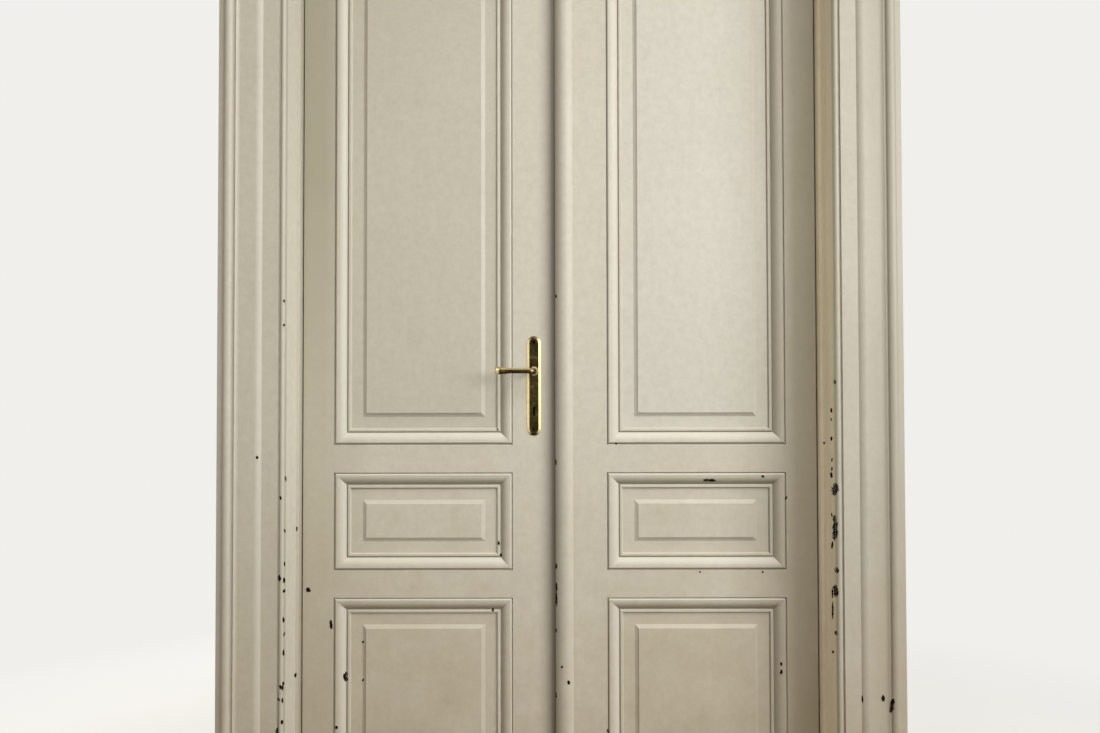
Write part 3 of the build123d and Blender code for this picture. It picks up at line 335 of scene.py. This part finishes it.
def light_surrounding():
    """The world: a soft light that grows upwards, and the plain background that is seen."""
    world = bpy.data.worlds.new("surrounding")
    world.use_nodes = True
    bpy.context.scene.world = world
    tree = world.node_tree
    tree.nodes.clear()
    ambient = tree.nodes.new("ShaderNodeBackground")
    ambient.inputs["Color"].default_value = AMBIENT_COLOUR
    way = tree.nodes.new("ShaderNodeTexCoord")
    split = tree.nodes.new("ShaderNodeSeparateXYZ")
    up = tree.nodes.new("ShaderNodeMapRange")
    up.inputs["From Min"].default_value = AMBIENT_START
    up.inputs["To Min"].default_value = AMBIENT_BELOW
    up.inputs["To Max"].default_value = AMBIENT_ABOVE
    tree.links.new(way.outputs["Generated"], split.inputs[0])
    tree.links.new(split.outputs["Z"], up.inputs["Value"])
    tree.links.new(up.outputs["Result"], ambient.inputs["Strength"])
    seen = tree.nodes.new("ShaderNodeBackground")
    seen.inputs["Color"].default_value = BACKGROUND
    mix = tree.nodes.new("ShaderNodeMixShader")
    out = tree.nodes.new("ShaderNodeOutputWorld")
    tree.links.new(seen_directly(tree), mix.inputs["Fac"])
    tree.links.new(ambient.outputs[0], mix.inputs[1])
    tree.links.new(seen.outputs[0], mix.inputs[2])
    tree.links.new(mix.outputs[0], out.inputs["Surface"])


def lay_floor():
    """A plain pale floor under the threshold, which fades into the background."""
    mesh = bpy.data.meshes.new("floor")
    corners = [
        (-FLOOR_REACH, -FLOOR_REACH, 0),
        (FLOOR_REACH, -FLOOR_REACH, 0),
        (FLOOR_REACH, FLOOR_REACH, 0),
        (-FLOOR_REACH, FLOOR_REACH, 0),
    ]
    mesh.from_pydata(corners, [], [(0, 1, 2, 3)])
    floor = bpy.data.objects.new("floor", mesh)
    bpy.context.scene.collection.objects.link(floor)
    shader = Shader("floor_finish")
    shader.set("Roughness", 0.9)
    grain = shader.noise(shader.place(), scale=3.0, detail=3)
    seen = seen_directly(shader.tree)
    tone = shader.ramp(grain, [(0.3, FLOOR), (0.7, FLOOR_LIGHT)])
    shader.colour(shader.blend(seen, FLOOR_BOUNCE, tone))
    away = shader.node("ShaderNodeVectorMath", operation="LENGTH")
    shader.feed(away.inputs[0], shader.place())
    far = shader.level(away.outputs["Value"], *FLOOR_FADE)
    glow = shader.node("ShaderNodeEmission")
    glow.inputs["Color"].default_value = BACKGROUND
    mix = shader.node("ShaderNodeMixShader")
    shader.feed(mix.inputs["Fac"], shader.math("MULTIPLY", far, seen))
    shader.feed(mix.inputs[1], shader.surface.outputs[0])
    shader.feed(mix.inputs[2], glow.outputs[0])
    shader.feed(shader.tree.nodes["Material Output"].inputs["Surface"], mix.outputs[0])
    mesh.materials.append(shader.material)


# Materials


class Shader:
    """One material's nodes, with short calls for the steps that the finishes share."""

    def __init__(self, name):
        self.material = bpy.data.materials.new(name)
        self.material.use_nodes = True
        self.tree = self.material.node_tree
        self.surface = self.tree.nodes["Principled BSDF"]

    def node(self, kind, **settings):
        """Adds a node of a kind, with its settings."""
        made = self.tree.nodes.new(kind)
        for key, value in settings.items():
            setattr(made, key, value)
        return made

    def feed(self, socket, value):
        """Links an output to a socket, or sets the socket to a plain value."""
        if isinstance(value, bpy.types.NodeSocket):
            self.tree.links.new(value, socket)
        else:
            socket.default_value = value

    def set(self, name, value):
        """Feeds one of the surface's own sockets."""
        self.feed(self.surface.inputs[name], value)

    def colour(self, value):
        """Feeds the surface's colour."""
        self.set("Base Color", value)

    def place(self):
        """Where a point is on the object at rest."""
        return self.node("ShaderNodeTexCoord").outputs["Object"]

    def part_of(self, vector, axis):
        """One coordinate of a vector."""
        split = self.node("ShaderNodeSeparateXYZ")
        self.feed(split.inputs[0], vector)
        return split.outputs[axis]

    def along(self, axis):
        """How far along an axis of the object a point is at rest."""
        return self.part_of(self.place(), axis)

    def facing(self, axis):
        """How far the surface faces along an axis of the object, from minus one to one."""
        return self.part_of(self.node("ShaderNodeTexCoord").outputs["Normal"], axis)

    def stretched(self, scale):
        """The point's place, drawn out along the axes that have a small scale."""
        mapping = self.node("ShaderNodeMapping")
        self.feed(mapping.inputs["Vector"], self.place())
        mapping.inputs["Scale"].default_value = scale
        return mapping.outputs["Vector"]

    def noise(self, vector, scale, detail=2.0, roughness=0.5, distortion=0.0):
        """Soft noise of so many grains a metre."""
        made = self.node("ShaderNodeTexNoise")
        self.feed(made.inputs["Vector"], vector)
        made.inputs["Scale"].default_value = scale
        made.inputs["Detail"].default_value = detail
        made.inputs["Roughness"].default_value = roughness
        made.inputs["Distortion"].default_value = distortion
        return made.outputs["Fac"]

    def ramp(self, factor, stops):
        """A colour for each value of the factor, between the given stops."""
        made = self.node("ShaderNodeValToRGB")
        self.feed(made.inputs["Fac"], factor)
        band = made.color_ramp
        while len(band.elements) < len(stops):
            band.elements.new(0.5)
        for element, (position, colour) in zip(band.elements, stops):
            element.position = position
            element.color = colour
        return made.outputs["Color"]

    def level(self, factor, low, high, start=0.0, end=1.0):
        """The factor between two limits, moved to run from start to end."""
        made = self.node("ShaderNodeMapRange", clamp=True)
        self.feed(made.inputs["Value"], factor)
        self.feed(made.inputs["From Min"], low)
        self.feed(made.inputs["From Max"], high)
        self.feed(made.inputs["To Min"], start)
        self.feed(made.inputs["To Max"], end)
        return made.outputs["Result"]

    def math(self, operation, first, second=0.0):
        """A sum, product or the like of two values."""
        made = self.node("ShaderNodeMath", operation=operation)
        self.feed(made.inputs[0], first)
        self.feed(made.inputs[1], second)
        return made.outputs[0]

    def blend(self, factor, first, second, mode="MIX"):
        """The first colour, turned into the second where the factor is one."""
        made = self.node("ShaderNodeMix", data_type="RGBA", blend_type=mode)
        self.feed(made.inputs["Factor"], factor)
        colours = [socket for socket in made.inputs if socket.type == "RGBA"]
        self.feed(colours[0], first)
        self.feed(colours[1], second)
        return next(socket for socket in made.outputs if socket.type == "RGBA")

    def hollows(self, distance):
        """One in a corner or groove narrower than the distance, and nought in the open."""
        made = self.node("ShaderNodeAmbientOcclusion", samples=6)
        made.inputs["Distance"].default_value = distance
        return self.math("SUBTRACT", 1.0, made.outputs["AO"])

    def relief(self, factor, depth, normal=None):
        """Bumps of a real depth in metres, laid over what is already there."""
        made = self.node("ShaderNodeBump")
        made.inputs["Distance"].default_value = depth
        self.feed(made.inputs["Height"], factor)
        if normal is not None:
            self.feed(made.inputs["Normal"], normal)
        return made.outputs["Normal"]

    def soft_edges(self, radius):
        """Edges rounded to a radius, by the normals alone."""
        made = self.node("ShaderNodeBevel", samples=4)
        made.inputs["Radius"].default_value = radius
        return made.outputs["Normal"]


# How the place is drawn out along the brush strokes, for each way that the paint is brushed
BRUSHED = {
    "x": (0.05, 1, 1),
    "z": (1, 1, 0.05),
    "both": (0.6, 1, 0.6),
}

# The marks in the paint: brown near the hinges, which at the right is also painted shade from
# the reveal, soil, streaks along the grain, dirt and painted shade in grooves, a painted shadow
# beside the cover strip, painted half-shade on the right architrave's outer part, painted light
# where the surface leans up or to the window and painted shade where it leans away, and painted
# warm light on the shaded reveal that goes only as far back as the leaves
PAINT_MARKS = {
    "aged": 0.0,
    "soil": 1.0,
    "streaks": 0.25,
    "crevices": 0.3,
    "grime": 0.0,
    "dulled": 0.0,
    "leaning": 0.0,
    "yellowed": 0.0,
}

# Where the marks begin and where they are full: across the doors, in height above the floor,
# and in distance from the edge of the near cover strip
BROWNED_LEFT = (-0.44, -0.56)
# At the right hinge the browning is also painted shade from the reveal
BROWNED_RIGHT = (0.4, 0.6)
BROWNED_HEIGHT = (0.9, 1.6)
# Painted half-shade on the right architrave's outer part, across the doors
DULLED_OUTSIDE = (0.68, 0.71)
# Painted shade near the top, in height above the floor
SMOKED_HEIGHT = (1.5, 2.1)
SOILED_HEIGHT = (1.0, 0.1)
STRIP_EDGE = -0.0135
# Where the painted shadow beside the cover strip begins and where it is full
GRIME_REACH = (0.045, 0.004)

# How deep the painted warm light of the shaded reveal goes: it ends just behind the plane of the
# leaves' near face
YELLOWED_DEPTH = (0.0475, 0.0485)


def brushed_tone(shader, clouds, brushed, light, dark, amounts):
    """The light and the dark paint, in clouds and in bands along the brush strokes. The painted
    warm light of the shaded reveal turns to cream where it ends."""
    bands = shader.noise(brushed, scale=34, detail=3, roughness=0.55)
    base = shader.blend(shader.level(clouds, 0.34, 0.7, end=0.5), light, dark)
    base = shader.blend(shader.level(bands, 0.4, 0.75, end=amounts["streaks"]), base, dark)
    # The painted warm light ends behind the leaves' near face, where the paint is cream
    behind = shader.level(shader.along("Y"), *YELLOWED_DEPTH, end=amounts["yellowed"])
    return shader.blend(behind, base, CREAM)


def aged_tone(shader, base, amounts):
    """The paint browned near the hinges, which at the right hinge is also painted shade from the
    reveal, with painted half-shade on the right architrave's outer part and painted shade near
    the top.
    """
    left = shader.level(shader.along("X"), *BROWNED_LEFT, end=amounts["aged"])
    high = shader.level(shader.along("Z"), *BROWNED_HEIGHT, start=0.45)
    # Browning at the right hinge, which is also painted shade from the reveal
    right = shader.level(shader.along("X"), *BROWNED_RIGHT, end=0.6 * amounts["aged"])
    hinges = shader.math("MAXIMUM", shader.math("MULTIPLY", left, high), right)
    base = shader.blend(hinges, base, BROWNED)
    # Painted half-shade on the right architrave's outer part
    outer = shader.level(shader.along("X"), *DULLED_OUTSIDE, end=amounts["dulled"])
    base = shader.blend(outer, base, BROWNED)
    # Painted shade near the top
    smoke = shader.level(shader.along("Z"), *SMOKED_HEIGHT, end=0.4)
    return shader.blend(smoke, base, SMOKED, "MULTIPLY")


def soiled_tone(shader, base, stains, amounts):
    """The paint with soil near the floor and a painted shadow beside the cover strip."""
    soil = amounts["soil"]
    low = shader.level(shader.along("Z"), *SOILED_HEIGHT)
    patches = shader.level(stains, 0.25, 0.75, start=0.25 * soil, end=0.62 * soil)
    base = shader.blend(shader.math("MULTIPLY", low, patches), base, SOIL)
    # The painted shadow of the cover strip, darkest next to its edge
    away = shader.math("ABSOLUTE", shader.math("SUBTRACT", shader.along("X"), STRIP_EDGE))
    near = shader.math("POWER", shader.level(away, *GRIME_REACH), 2.0)
    return shader.blend(shader.math("MULTIPLY", near, amounts["grime"]), base, CREVICE_DIRT)


def leaning_tone(shader, base, amount):
    """Painted light where the surface leans up or to the window, and painted shade where it leans
    away.
    """
    # Painted light and shade by how far the surface turns up and to the right
    lean = shader.math("ADD", shader.facing("X"), shader.facing("Z"))
    base = shader.blend(shader.level(lean, 0.05, 0.6, end=amount), base, FADED)
    return shader.blend(shader.level(lean, -0.05, -0.6, end=amount), base, SOOTY)


def paint(name, grain, light=CREAM, dark=GREIGE, **marks):
    """Old oil paint, brushed along the grain, with dirt and painted shade in its corners, soil
    near the floor, and painted shade near the top. The marks say how much there is of each of the
    others."""
    amounts = dict(PAINT_MARKS, **marks)
    shader = Shader(name)
    brushed = shader.stretched(BRUSHED[grain])
    clouds = shader.noise(shader.place(), scale=2.3, detail=4, roughness=0.55)
    stains = shader.noise(shader.place(), scale=11, detail=6, roughness=0.65)
    mottle = shader.noise(shader.place(), scale=55, detail=6, roughness=0.75)
    specks = shader.noise(shader.place(), scale=210, detail=2, roughness=0.5)
    base = brushed_tone(shader, clouds, brushed, light, dark, amounts)
    base = shader.blend(shader.level(mottle, 0.38, 0.68, end=0.13), base, SOOTY)
    base = shader.blend(shader.level(stains, 0.6, 0.82, end=0.16 * amounts["soil"]), base, SOIL)
    base = aged_tone(shader, base, amounts)
    base = soiled_tone(shader, base, stains, amounts)
    base = leaning_tone(shader, base, amounts["leaning"])
    # Dirt and painted shade in the corners and grooves, where occlusion is high
    corners = shader.level(shader.hollows(0.01), 0.45, 0.85, end=amounts["crevices"])
    base = shader.blend(corners, base, CREVICE_DIRT)
    shader.colour(shader.blend(shader.level(specks, 0.75, 0.8, end=0.5), base, SOIL))
    shader.set("Roughness", shader.level(clouds, 0.3, 0.7, start=0.4, end=0.54))
    waves = shader.noise(shader.place(), scale=16, detail=2, roughness=0.5)
    strokes = shader.noise(brushed, scale=420, detail=3, roughness=0.6)
    normal = shader.soft_edges(0.0009)
    normal = shader.relief(waves, 0.0009, normal)
    normal = shader.relief(mottle, 0.0006, normal)
    shader.set("Normal", shader.relief(strokes, 0.00018, normal))
    return shader.material


def aged_brass(name, worn_of, tones=BROWN_BRASS):
    """Handled brass: dark where it lies flat, which is its patina and also a painted reflection
    of a dark room, and rubbed bright where the second argument says, as wear and a painted
    highlight.
    """
    shader = Shader(name)
    patina = shader.noise(shader.place(), scale=60, detail=5, roughness=0.65)
    fine = shader.noise(shader.stretched((1, 1, 0.3)), scale=700, detail=3, roughness=0.6)
    dark = shader.ramp(patina, tones)
    bright = shader.ramp(fine, [(0.3, RUBBED_BRASS), (0.7, RUBBED_BRASS_LIGHT)])
    # Rubbed bright: wear, and also a painted highlight
    worn = shader.math("MULTIPLY", worn_of(shader), shader.level(patina, 0.2, 0.45, start=0.75))
    tone = shader.blend(worn, dark, bright)
    # Darker in hollows and where the plate meets the wood
    corners = shader.level(shader.hollows(0.004), 0.45, 0.9, end=0.9)
    shader.colour(shader.blend(corners, tone, BRASS_DIRT))
    shader.set("Metallic", 1.0)
    shader.set("Roughness", shader.level(worn, 0.0, 1.0, start=0.28, end=0.42))
    normal = shader.relief(fine, 0.00002, shader.soft_edges(0.0006))
    shader.set("Normal", shader.relief(patina, 0.0001, normal))
    return shader.material


def bevel_wear(shader):
    """Wear and a painted highlight: one on the slanted long sides of a plate, and nought on its
    ends and its flat face.
    """
    return shader.level(shader.math("ABSOLUTE", shader.facing("X")), 0.2, 0.4)


# Where the wear and painted highlight on the lever's rounded end and its knuckle start and are
# full, across the doors
GRIP_END = (-0.140, -0.143)
KNUCKLE = (-0.068, -0.062)


def grip_wear(shader):
    """One along the lever's top, on its end and on its knuckle, where hands rub it; this is also
    a painted highlight.
    """
    top = shader.level(shader.facing("Z"), 0.45, 0.7)
    end = shader.level(shader.along("X"), *GRIP_END)
    forward = shader.level(shader.math("ABSOLUTE", shader.facing("Y")), 0.55, 0.9)
    knuckle = shader.math("MULTIPLY", shader.level(shader.along("X"), *KNUCKLE), forward)
    return shader.math("MAXIMUM", shader.math("MAXIMUM", top, end), knuckle)


def screw_wear(shader):
    """Hardly any wear, since nothing rubs a screw."""
    spots = shader.noise(shader.place(), scale=200, detail=2, roughness=0.5)
    return shader.level(spots, 0.6, 0.9, end=0.3)


def steel():
    """Grey lock steel, drawn along its length and spotted with old oil."""
    shader = Shader("lock_steel_finish")
    drawn = shader.noise(shader.stretched((1, 1, 0.04)), scale=900, detail=3, roughness=0.6)
    spots = shader.noise(shader.place(), scale=90, detail=5, roughness=0.65)
    tone = shader.ramp(spots, [(0.35, OILED_STEEL), (0.65, STEEL)])
    shader.colour(shader.blend(shader.level(drawn, 0.4, 0.7, end=0.4), tone, STEEL_SCRATCH))
    shader.set("Metallic", 1.0)
    shader.set("Roughness", shader.level(spots, 0.3, 0.7, start=0.5, end=0.3))
    shader.set("Normal", shader.relief(drawn, 0.00004, shader.soft_edges(0.0004)))
    return shader.material


def oak():
    """A worn, oiled oak plank with its grain along X."""
    shader = Shader("oak_finish")
    drawn = shader.stretched((0.06, 1, 1))
    grain = shader.noise(drawn, scale=60, detail=6, roughness=0.62, distortion=1.2)
    pores = shader.noise(shader.stretched((0.03, 1, 1)), scale=700, detail=3, roughness=0.6)
    wear = shader.noise(shader.place(), scale=7, detail=4, roughness=0.6)
    tone = shader.ramp(grain, [(0.28, OAK_DARK), (0.5, OAK), (0.72, OAK_LIGHT)])
    tone = shader.blend(shader.level(pores, 0.6, 0.75, end=0.55), tone, OAK_PORE)
    tone = shader.blend(shader.level(wear, 0.45, 0.75, end=0.4), tone, OAK_WORN)
    shader.colour(tone)
    shader.set("Roughness", shader.level(wear, 0.3, 0.7, start=0.45, end=0.65))
    normal = shader.relief(grain, 0.0006, shader.soft_edges(0.002))
    shader.set("Normal", shader.relief(pores, 0.0002, normal))
    return shader.material


def bare_wood():
    """Dark old wood, bared where the paint has come off."""
    shader = Shader("chip_finish")
    grain = shader.noise(shader.stretched((1, 1, 0.2)), scale=260, detail=4, roughness=0.6)
    shader.colour(shader.ramp(grain, [(0.35, BARE_WOOD_DARK), (0.75, BARE_WOOD)]))
    shader.set("Roughness", 0.9)
    shader.set("Specular IOR Level", 0.1)
    shader.set("Normal", shader.relief(grain, 0.0004))
    return shader.material


def chip_rim():
    """The pale broken edge of the paint round a chip."""
    shader = Shader("chip_rim_finish")
    crumbs = shader.noise(shader.place(), scale=500, detail=3, roughness=0.6)
    shader.colour(shader.ramp(crumbs, [(0.3, BROKEN_EDGE), (0.7, BROKEN_EDGE_LIGHT)]))
    shader.set("Roughness", 0.7)
    shader.set("Normal", shader.relief(crumbs, 0.0003))
    return shader.material


FINISHES = {
    # The side marks paint light on faces that lean up or to the window and shade on those that
    # lean away
    "vertical": paint("paint_vertical", "z", aged=1.0, leaning=0.3),
    "horizontal": paint("paint_horizontal", "x", aged=1.0, leaning=0.3),
    "moulded": paint("paint_moulded", "both", aged=0.6, leaning=0.6),
    "upper_panel": paint("paint_upper_panel", "z", UPPER_CREAM, UPPER_GREIGE, leaning=0.4),
    "pale_panel": paint("paint_pale_panel", "z", PALE_CREAM, PALE_GREIGE, leaning=0.4),
    "panel": paint("paint_panel", "z", PANEL_CREAM, PANEL_GREIGE, leaning=0.4),
    # The left reveal's paler paint, partly painted window light
    "fresh": paint("paint_fresh", "z", FRESH_CREAM, FRESH_GREIGE, soil=0.3),
    # The meeting stile's paint carries the cover strip's painted shadow
    "closing": paint("paint_closing", "z", grime=0.9),
    # The cover strip's paint, with painted shade on its flank
    "handled": paint("paint_handled", "z", grime=0.5, leaning=0.25),
    "frame": paint("paint_frame", "z", crevices=0.2),
    "trim": paint("paint_trim", "z", TRIM_CREAM, TRIM_GREIGE, crevices=0.2, leaning=0.3),
    # The right architrave's duller paint, with painted half-shade on its outer part
    "dull": paint("paint_dull", "z", DULL_CREAM, DULL_GREIGE, crevices=0.0, dulled=0.5),
    # The right reveal's paint: painted warm light on a shaded surface
    "shaded": paint("paint_shaded", "z", TAN, TAN_STREAK, soil=0.2, streaks=0.7, yellowed=1.0),
    "brass": aged_brass("plate_brass", bevel_wear),
    "lever_brass": aged_brass("lever_brass", grip_wear),
    "screw_brass": aged_brass("screw_brass", screw_wear, BLACK_BRASS),
    "steel": steel(),
    "oak": oak(),
}

# The nodes whose finish in the photograph differs from that of the rest of their kind
FINISH_OF_NODE = {
    # The left reveal's paler paint is partly painted window light
    "reveal_board_left": "fresh",
    # The right reveal and its post take the painted warm light
    "reveal_board_right": "shaded",
    "frame_post_left": "frame",
    "frame_post_right": "shaded",
    "left_upper_panel": "upper_panel",
    "right_upper_panel": "pale_panel",
    # Painted shadow beside the cover strip, and painted shade on its flank
    "left_meeting_stile": "closing",
    "right_near_cover_strip": "handled",
    "backplate_screws": "screw_brass",
}


def finish_of(node, slot):
    """The finish that a CAD node takes, by its name and its material slot."""
    if node in FINISH_OF_NODE:
        return FINISH_OF_NODE[node]
    if slot == "aged_brass":
        return "lever_brass" if "lever" in node else "brass"
    if slot == "lock_steel":
        return "steel"
    if slot == "oak":
        return "oak"
    if node.endswith("architrave_right"):
        return "dull"
    if node.endswith("architrave_left"):
        return "trim"
    if node.endswith("lower_panel"):
        return "panel"
    if "rail" in node or node.endswith("head") or "middle_panel" in node:
        return "horizontal"
    if "moulding" in node or "hinge_halves" in node:
        return "moulded"
    return "vertical"


def dress_nodes():
    """Gives every CAD node its finish."""
    slots = {part["node"]: part["material_slot"] for part in frame["record"]["subparts"]}
    for node, piece in frame["nodes"].items():
        piece.data.materials.clear()
        piece.data.materials.append(FINISHES[finish_of(node, slots[node])])


def piece_of(name, bm, finishes):
    """Makes a mesh into an object of the scene, with its finishes."""
    mesh = bpy.data.meshes.new(name)
    bm.to_mesh(mesh)
    bm.free()
    for finish in finishes:
        mesh.materials.append(finish)
    piece = bpy.data.objects.new(name, mesh)
    bpy.context.scene.collection.objects.link(piece)
    return piece


# The chips in the paint


# How far a chip's dark floor and the lip of its rim stand off the painted surface, and the
# longest edge that a face of it may have: a longer one would bridge the gap between two pieces
CHIP_FLOOR = 0.0001
CHIP_LIP = 0.0003
LONGEST_EDGE = 0.006

# How far apart a chip's corners and rings are, and how wide its rim is, in the photograph's
# pixels. A chip that is narrower than NARROW_CHIP has a narrower rim too.
SPOKE_SPACING = 0.3
RING_SPACING = 1.6 * SPOKE_SPACING
RIM_WIDTH = 0.2
NARROW_CHIP = 2.0
FEWEST_SPOKES = 12
FEWEST_RINGS = 2

# How much larger a chip is laid than it was measured, how ragged it is and how far it leans
CHIP_SPREAD = 1.5
RAGGEDNESS = (0.68, 1.12)
GREATEST_LEAN = 0.35
CHIP_SEED = 7


def painted_surface(body):
    """A tree for ray casting of all the painted nodes that ride on a body."""
    vertices = []
    polygons = []
    for part in frame["record"]["subparts"]:
        piece = frame["nodes"][part["node"]]
        if part["material_slot"] != "painted_wood" or piece.parent != frame["bodies"][body]:
            continue
        mesh = piece.data
        start = len(vertices)
        vertices += [vertex.co.copy() for vertex in mesh.vertices]
        polygons += [[start + index for index in face.vertices] for face in mesh.polygons]
    return BVHTree.FromPolygons(vertices, polygons)


def pixel_ray(x, y, camera_turn):
    """The way from the camera to a pixel of the photograph."""
    across = (x - PHOTO_WIDTH / 2) / FOCAL_PIXELS
    up = (PHOTO_HEIGHT / 2 - y) / FOCAL_PIXELS
    return (camera_turn @ Vector((across, up, -1))).normalized()


def chip_rings(chip):
    """The rings of a chip from its middle out, each a share of its size and a height."""
    inner = max(FEWEST_RINGS, round(max(chip.wide, chip.high) / 2 / RING_SPACING))
    rings = [(CHIP_SPREAD * k / inner, CHIP_FLOOR) for k in range(1, inner + 1)]
    rim = RIM_WIDTH / max(chip.wide, NARROW_CHIP)
    return rings + [(CHIP_SPREAD + rim / 2, CHIP_LIP), (CHIP_SPREAD + rim, -CHIP_FLOOR)]


def add_face(bm, corners, material):
    """Adds a face if all its corners were found and it doesn't bridge a gap."""
    if None in corners:
        return
    for here, there in zip(corners, corners[1:] + corners[:1]):
        if (here.co - there.co).length > LONGEST_EDGE:
            return
    face = bm.faces.new(corners)
    face.material_index = material


def lay_chip(bm, chip, surface, camera_turn, rng):
    """Lays one ragged chip on the surface that the camera sees at its pixels."""
    girth = math.pi * (chip.wide + chip.high) / 2
    spokes = max(FEWEST_SPOKES, round(girth / SPOKE_SPACING))
    reach = [rng.uniform(*RAGGEDNESS) for _ in range(spokes)]
    lean = rng.uniform(-GREATEST_LEAN, GREATEST_LEAN)

    def point(share, spoke, lift):
        turn = 2 * math.pi * spoke / spokes
        across = share * reach[spoke] * math.cos(turn) * chip.wide / 2
        down = share * reach[spoke] * math.sin(turn) * chip.high / 2
        slant = lean * down * chip.wide / chip.high
        way = pixel_ray(chip.x + across + slant, chip.y + down, camera_turn)
        place, normal, _, _ = surface.ray_cast(Vector(CAMERA_PLACE), way)
        return None if place is None else bm.verts.new(place + lift * normal)

    middle = point(0.0, 0, CHIP_FLOOR)
    rings = chip_rings(chip)
    loops = [[point(share, spoke, lift) for spoke in range(spokes)] for share, lift in rings]
    for spoke in range(spokes):
        after = (spoke + 1) % spokes
        add_face(bm, (middle, loops[0][spoke], loops[0][after]), 0)
        for k in range(len(loops) - 1):
            corners = (loops[k][spoke], loops[k + 1][spoke], loops[k + 1][after], loops[k][after])
            add_face(bm, corners, 1 if k >= len(loops) - 2 else 0)


def chip_paint(camera_turn):
    """Lays every chip, as one piece on each body."""
    finishes = (bare_wood(), chip_rim())
    rng = random.Random(CHIP_SEED)
    for body, chips in CHIPS.items():
        surface = painted_surface(body)
        bm = bmesh.new()
        for chip in chips:
            lay_chip(bm, chip, surface, camera_turn, rng)
        loose = [vertex for vertex in bm.verts if not vertex.link_faces]
        bmesh.ops.delete(bm, geom=loose, context="VERTS")
        piece = piece_of(f"{body}_chips", bm, finishes)
        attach(piece, body)


# The low and the high corner of the ward plate, which stands in the lock behind the keyhole,
# against the back of the case and clear of the key bolt. Its near-black finish is painted shade
# in the keyhole.
WARD_PLATE_LOW = Vector((-0.0867, 0.0675, 1.018))
WARD_PLATE_HIGH = Vector((-0.0525, 0.0695, 1.052))


def add_ward_plate():
    """Adds the near-black plate that closes the view through the keyhole, as painted shade there.
    """
    middle = Matrix.Translation((WARD_PLATE_LOW + WARD_PLATE_HIGH) / 2)
    size = Matrix.Diagonal((*(WARD_PLATE_HIGH - WARD_PLATE_LOW), 1.0))
    bm = bmesh.new()
    bmesh.ops.create_cube(bm, size=1.0, matrix=middle @ size)
    # Near-black finish: painted shade in the keyhole
    piece = piece_of("lock_ward_plate", bm, [FINISHES["screw_brass"]])
    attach(piece, "left_leaf")


bpy.context.scene.view_settings.view_transform = "Standard"
turn = aim_camera()
for lamp in LAMPS:
    hang_lamp(lamp)
light_surrounding()
lay_floor()
dress_nodes()
chip_paint(turn)
add_ward_plate()
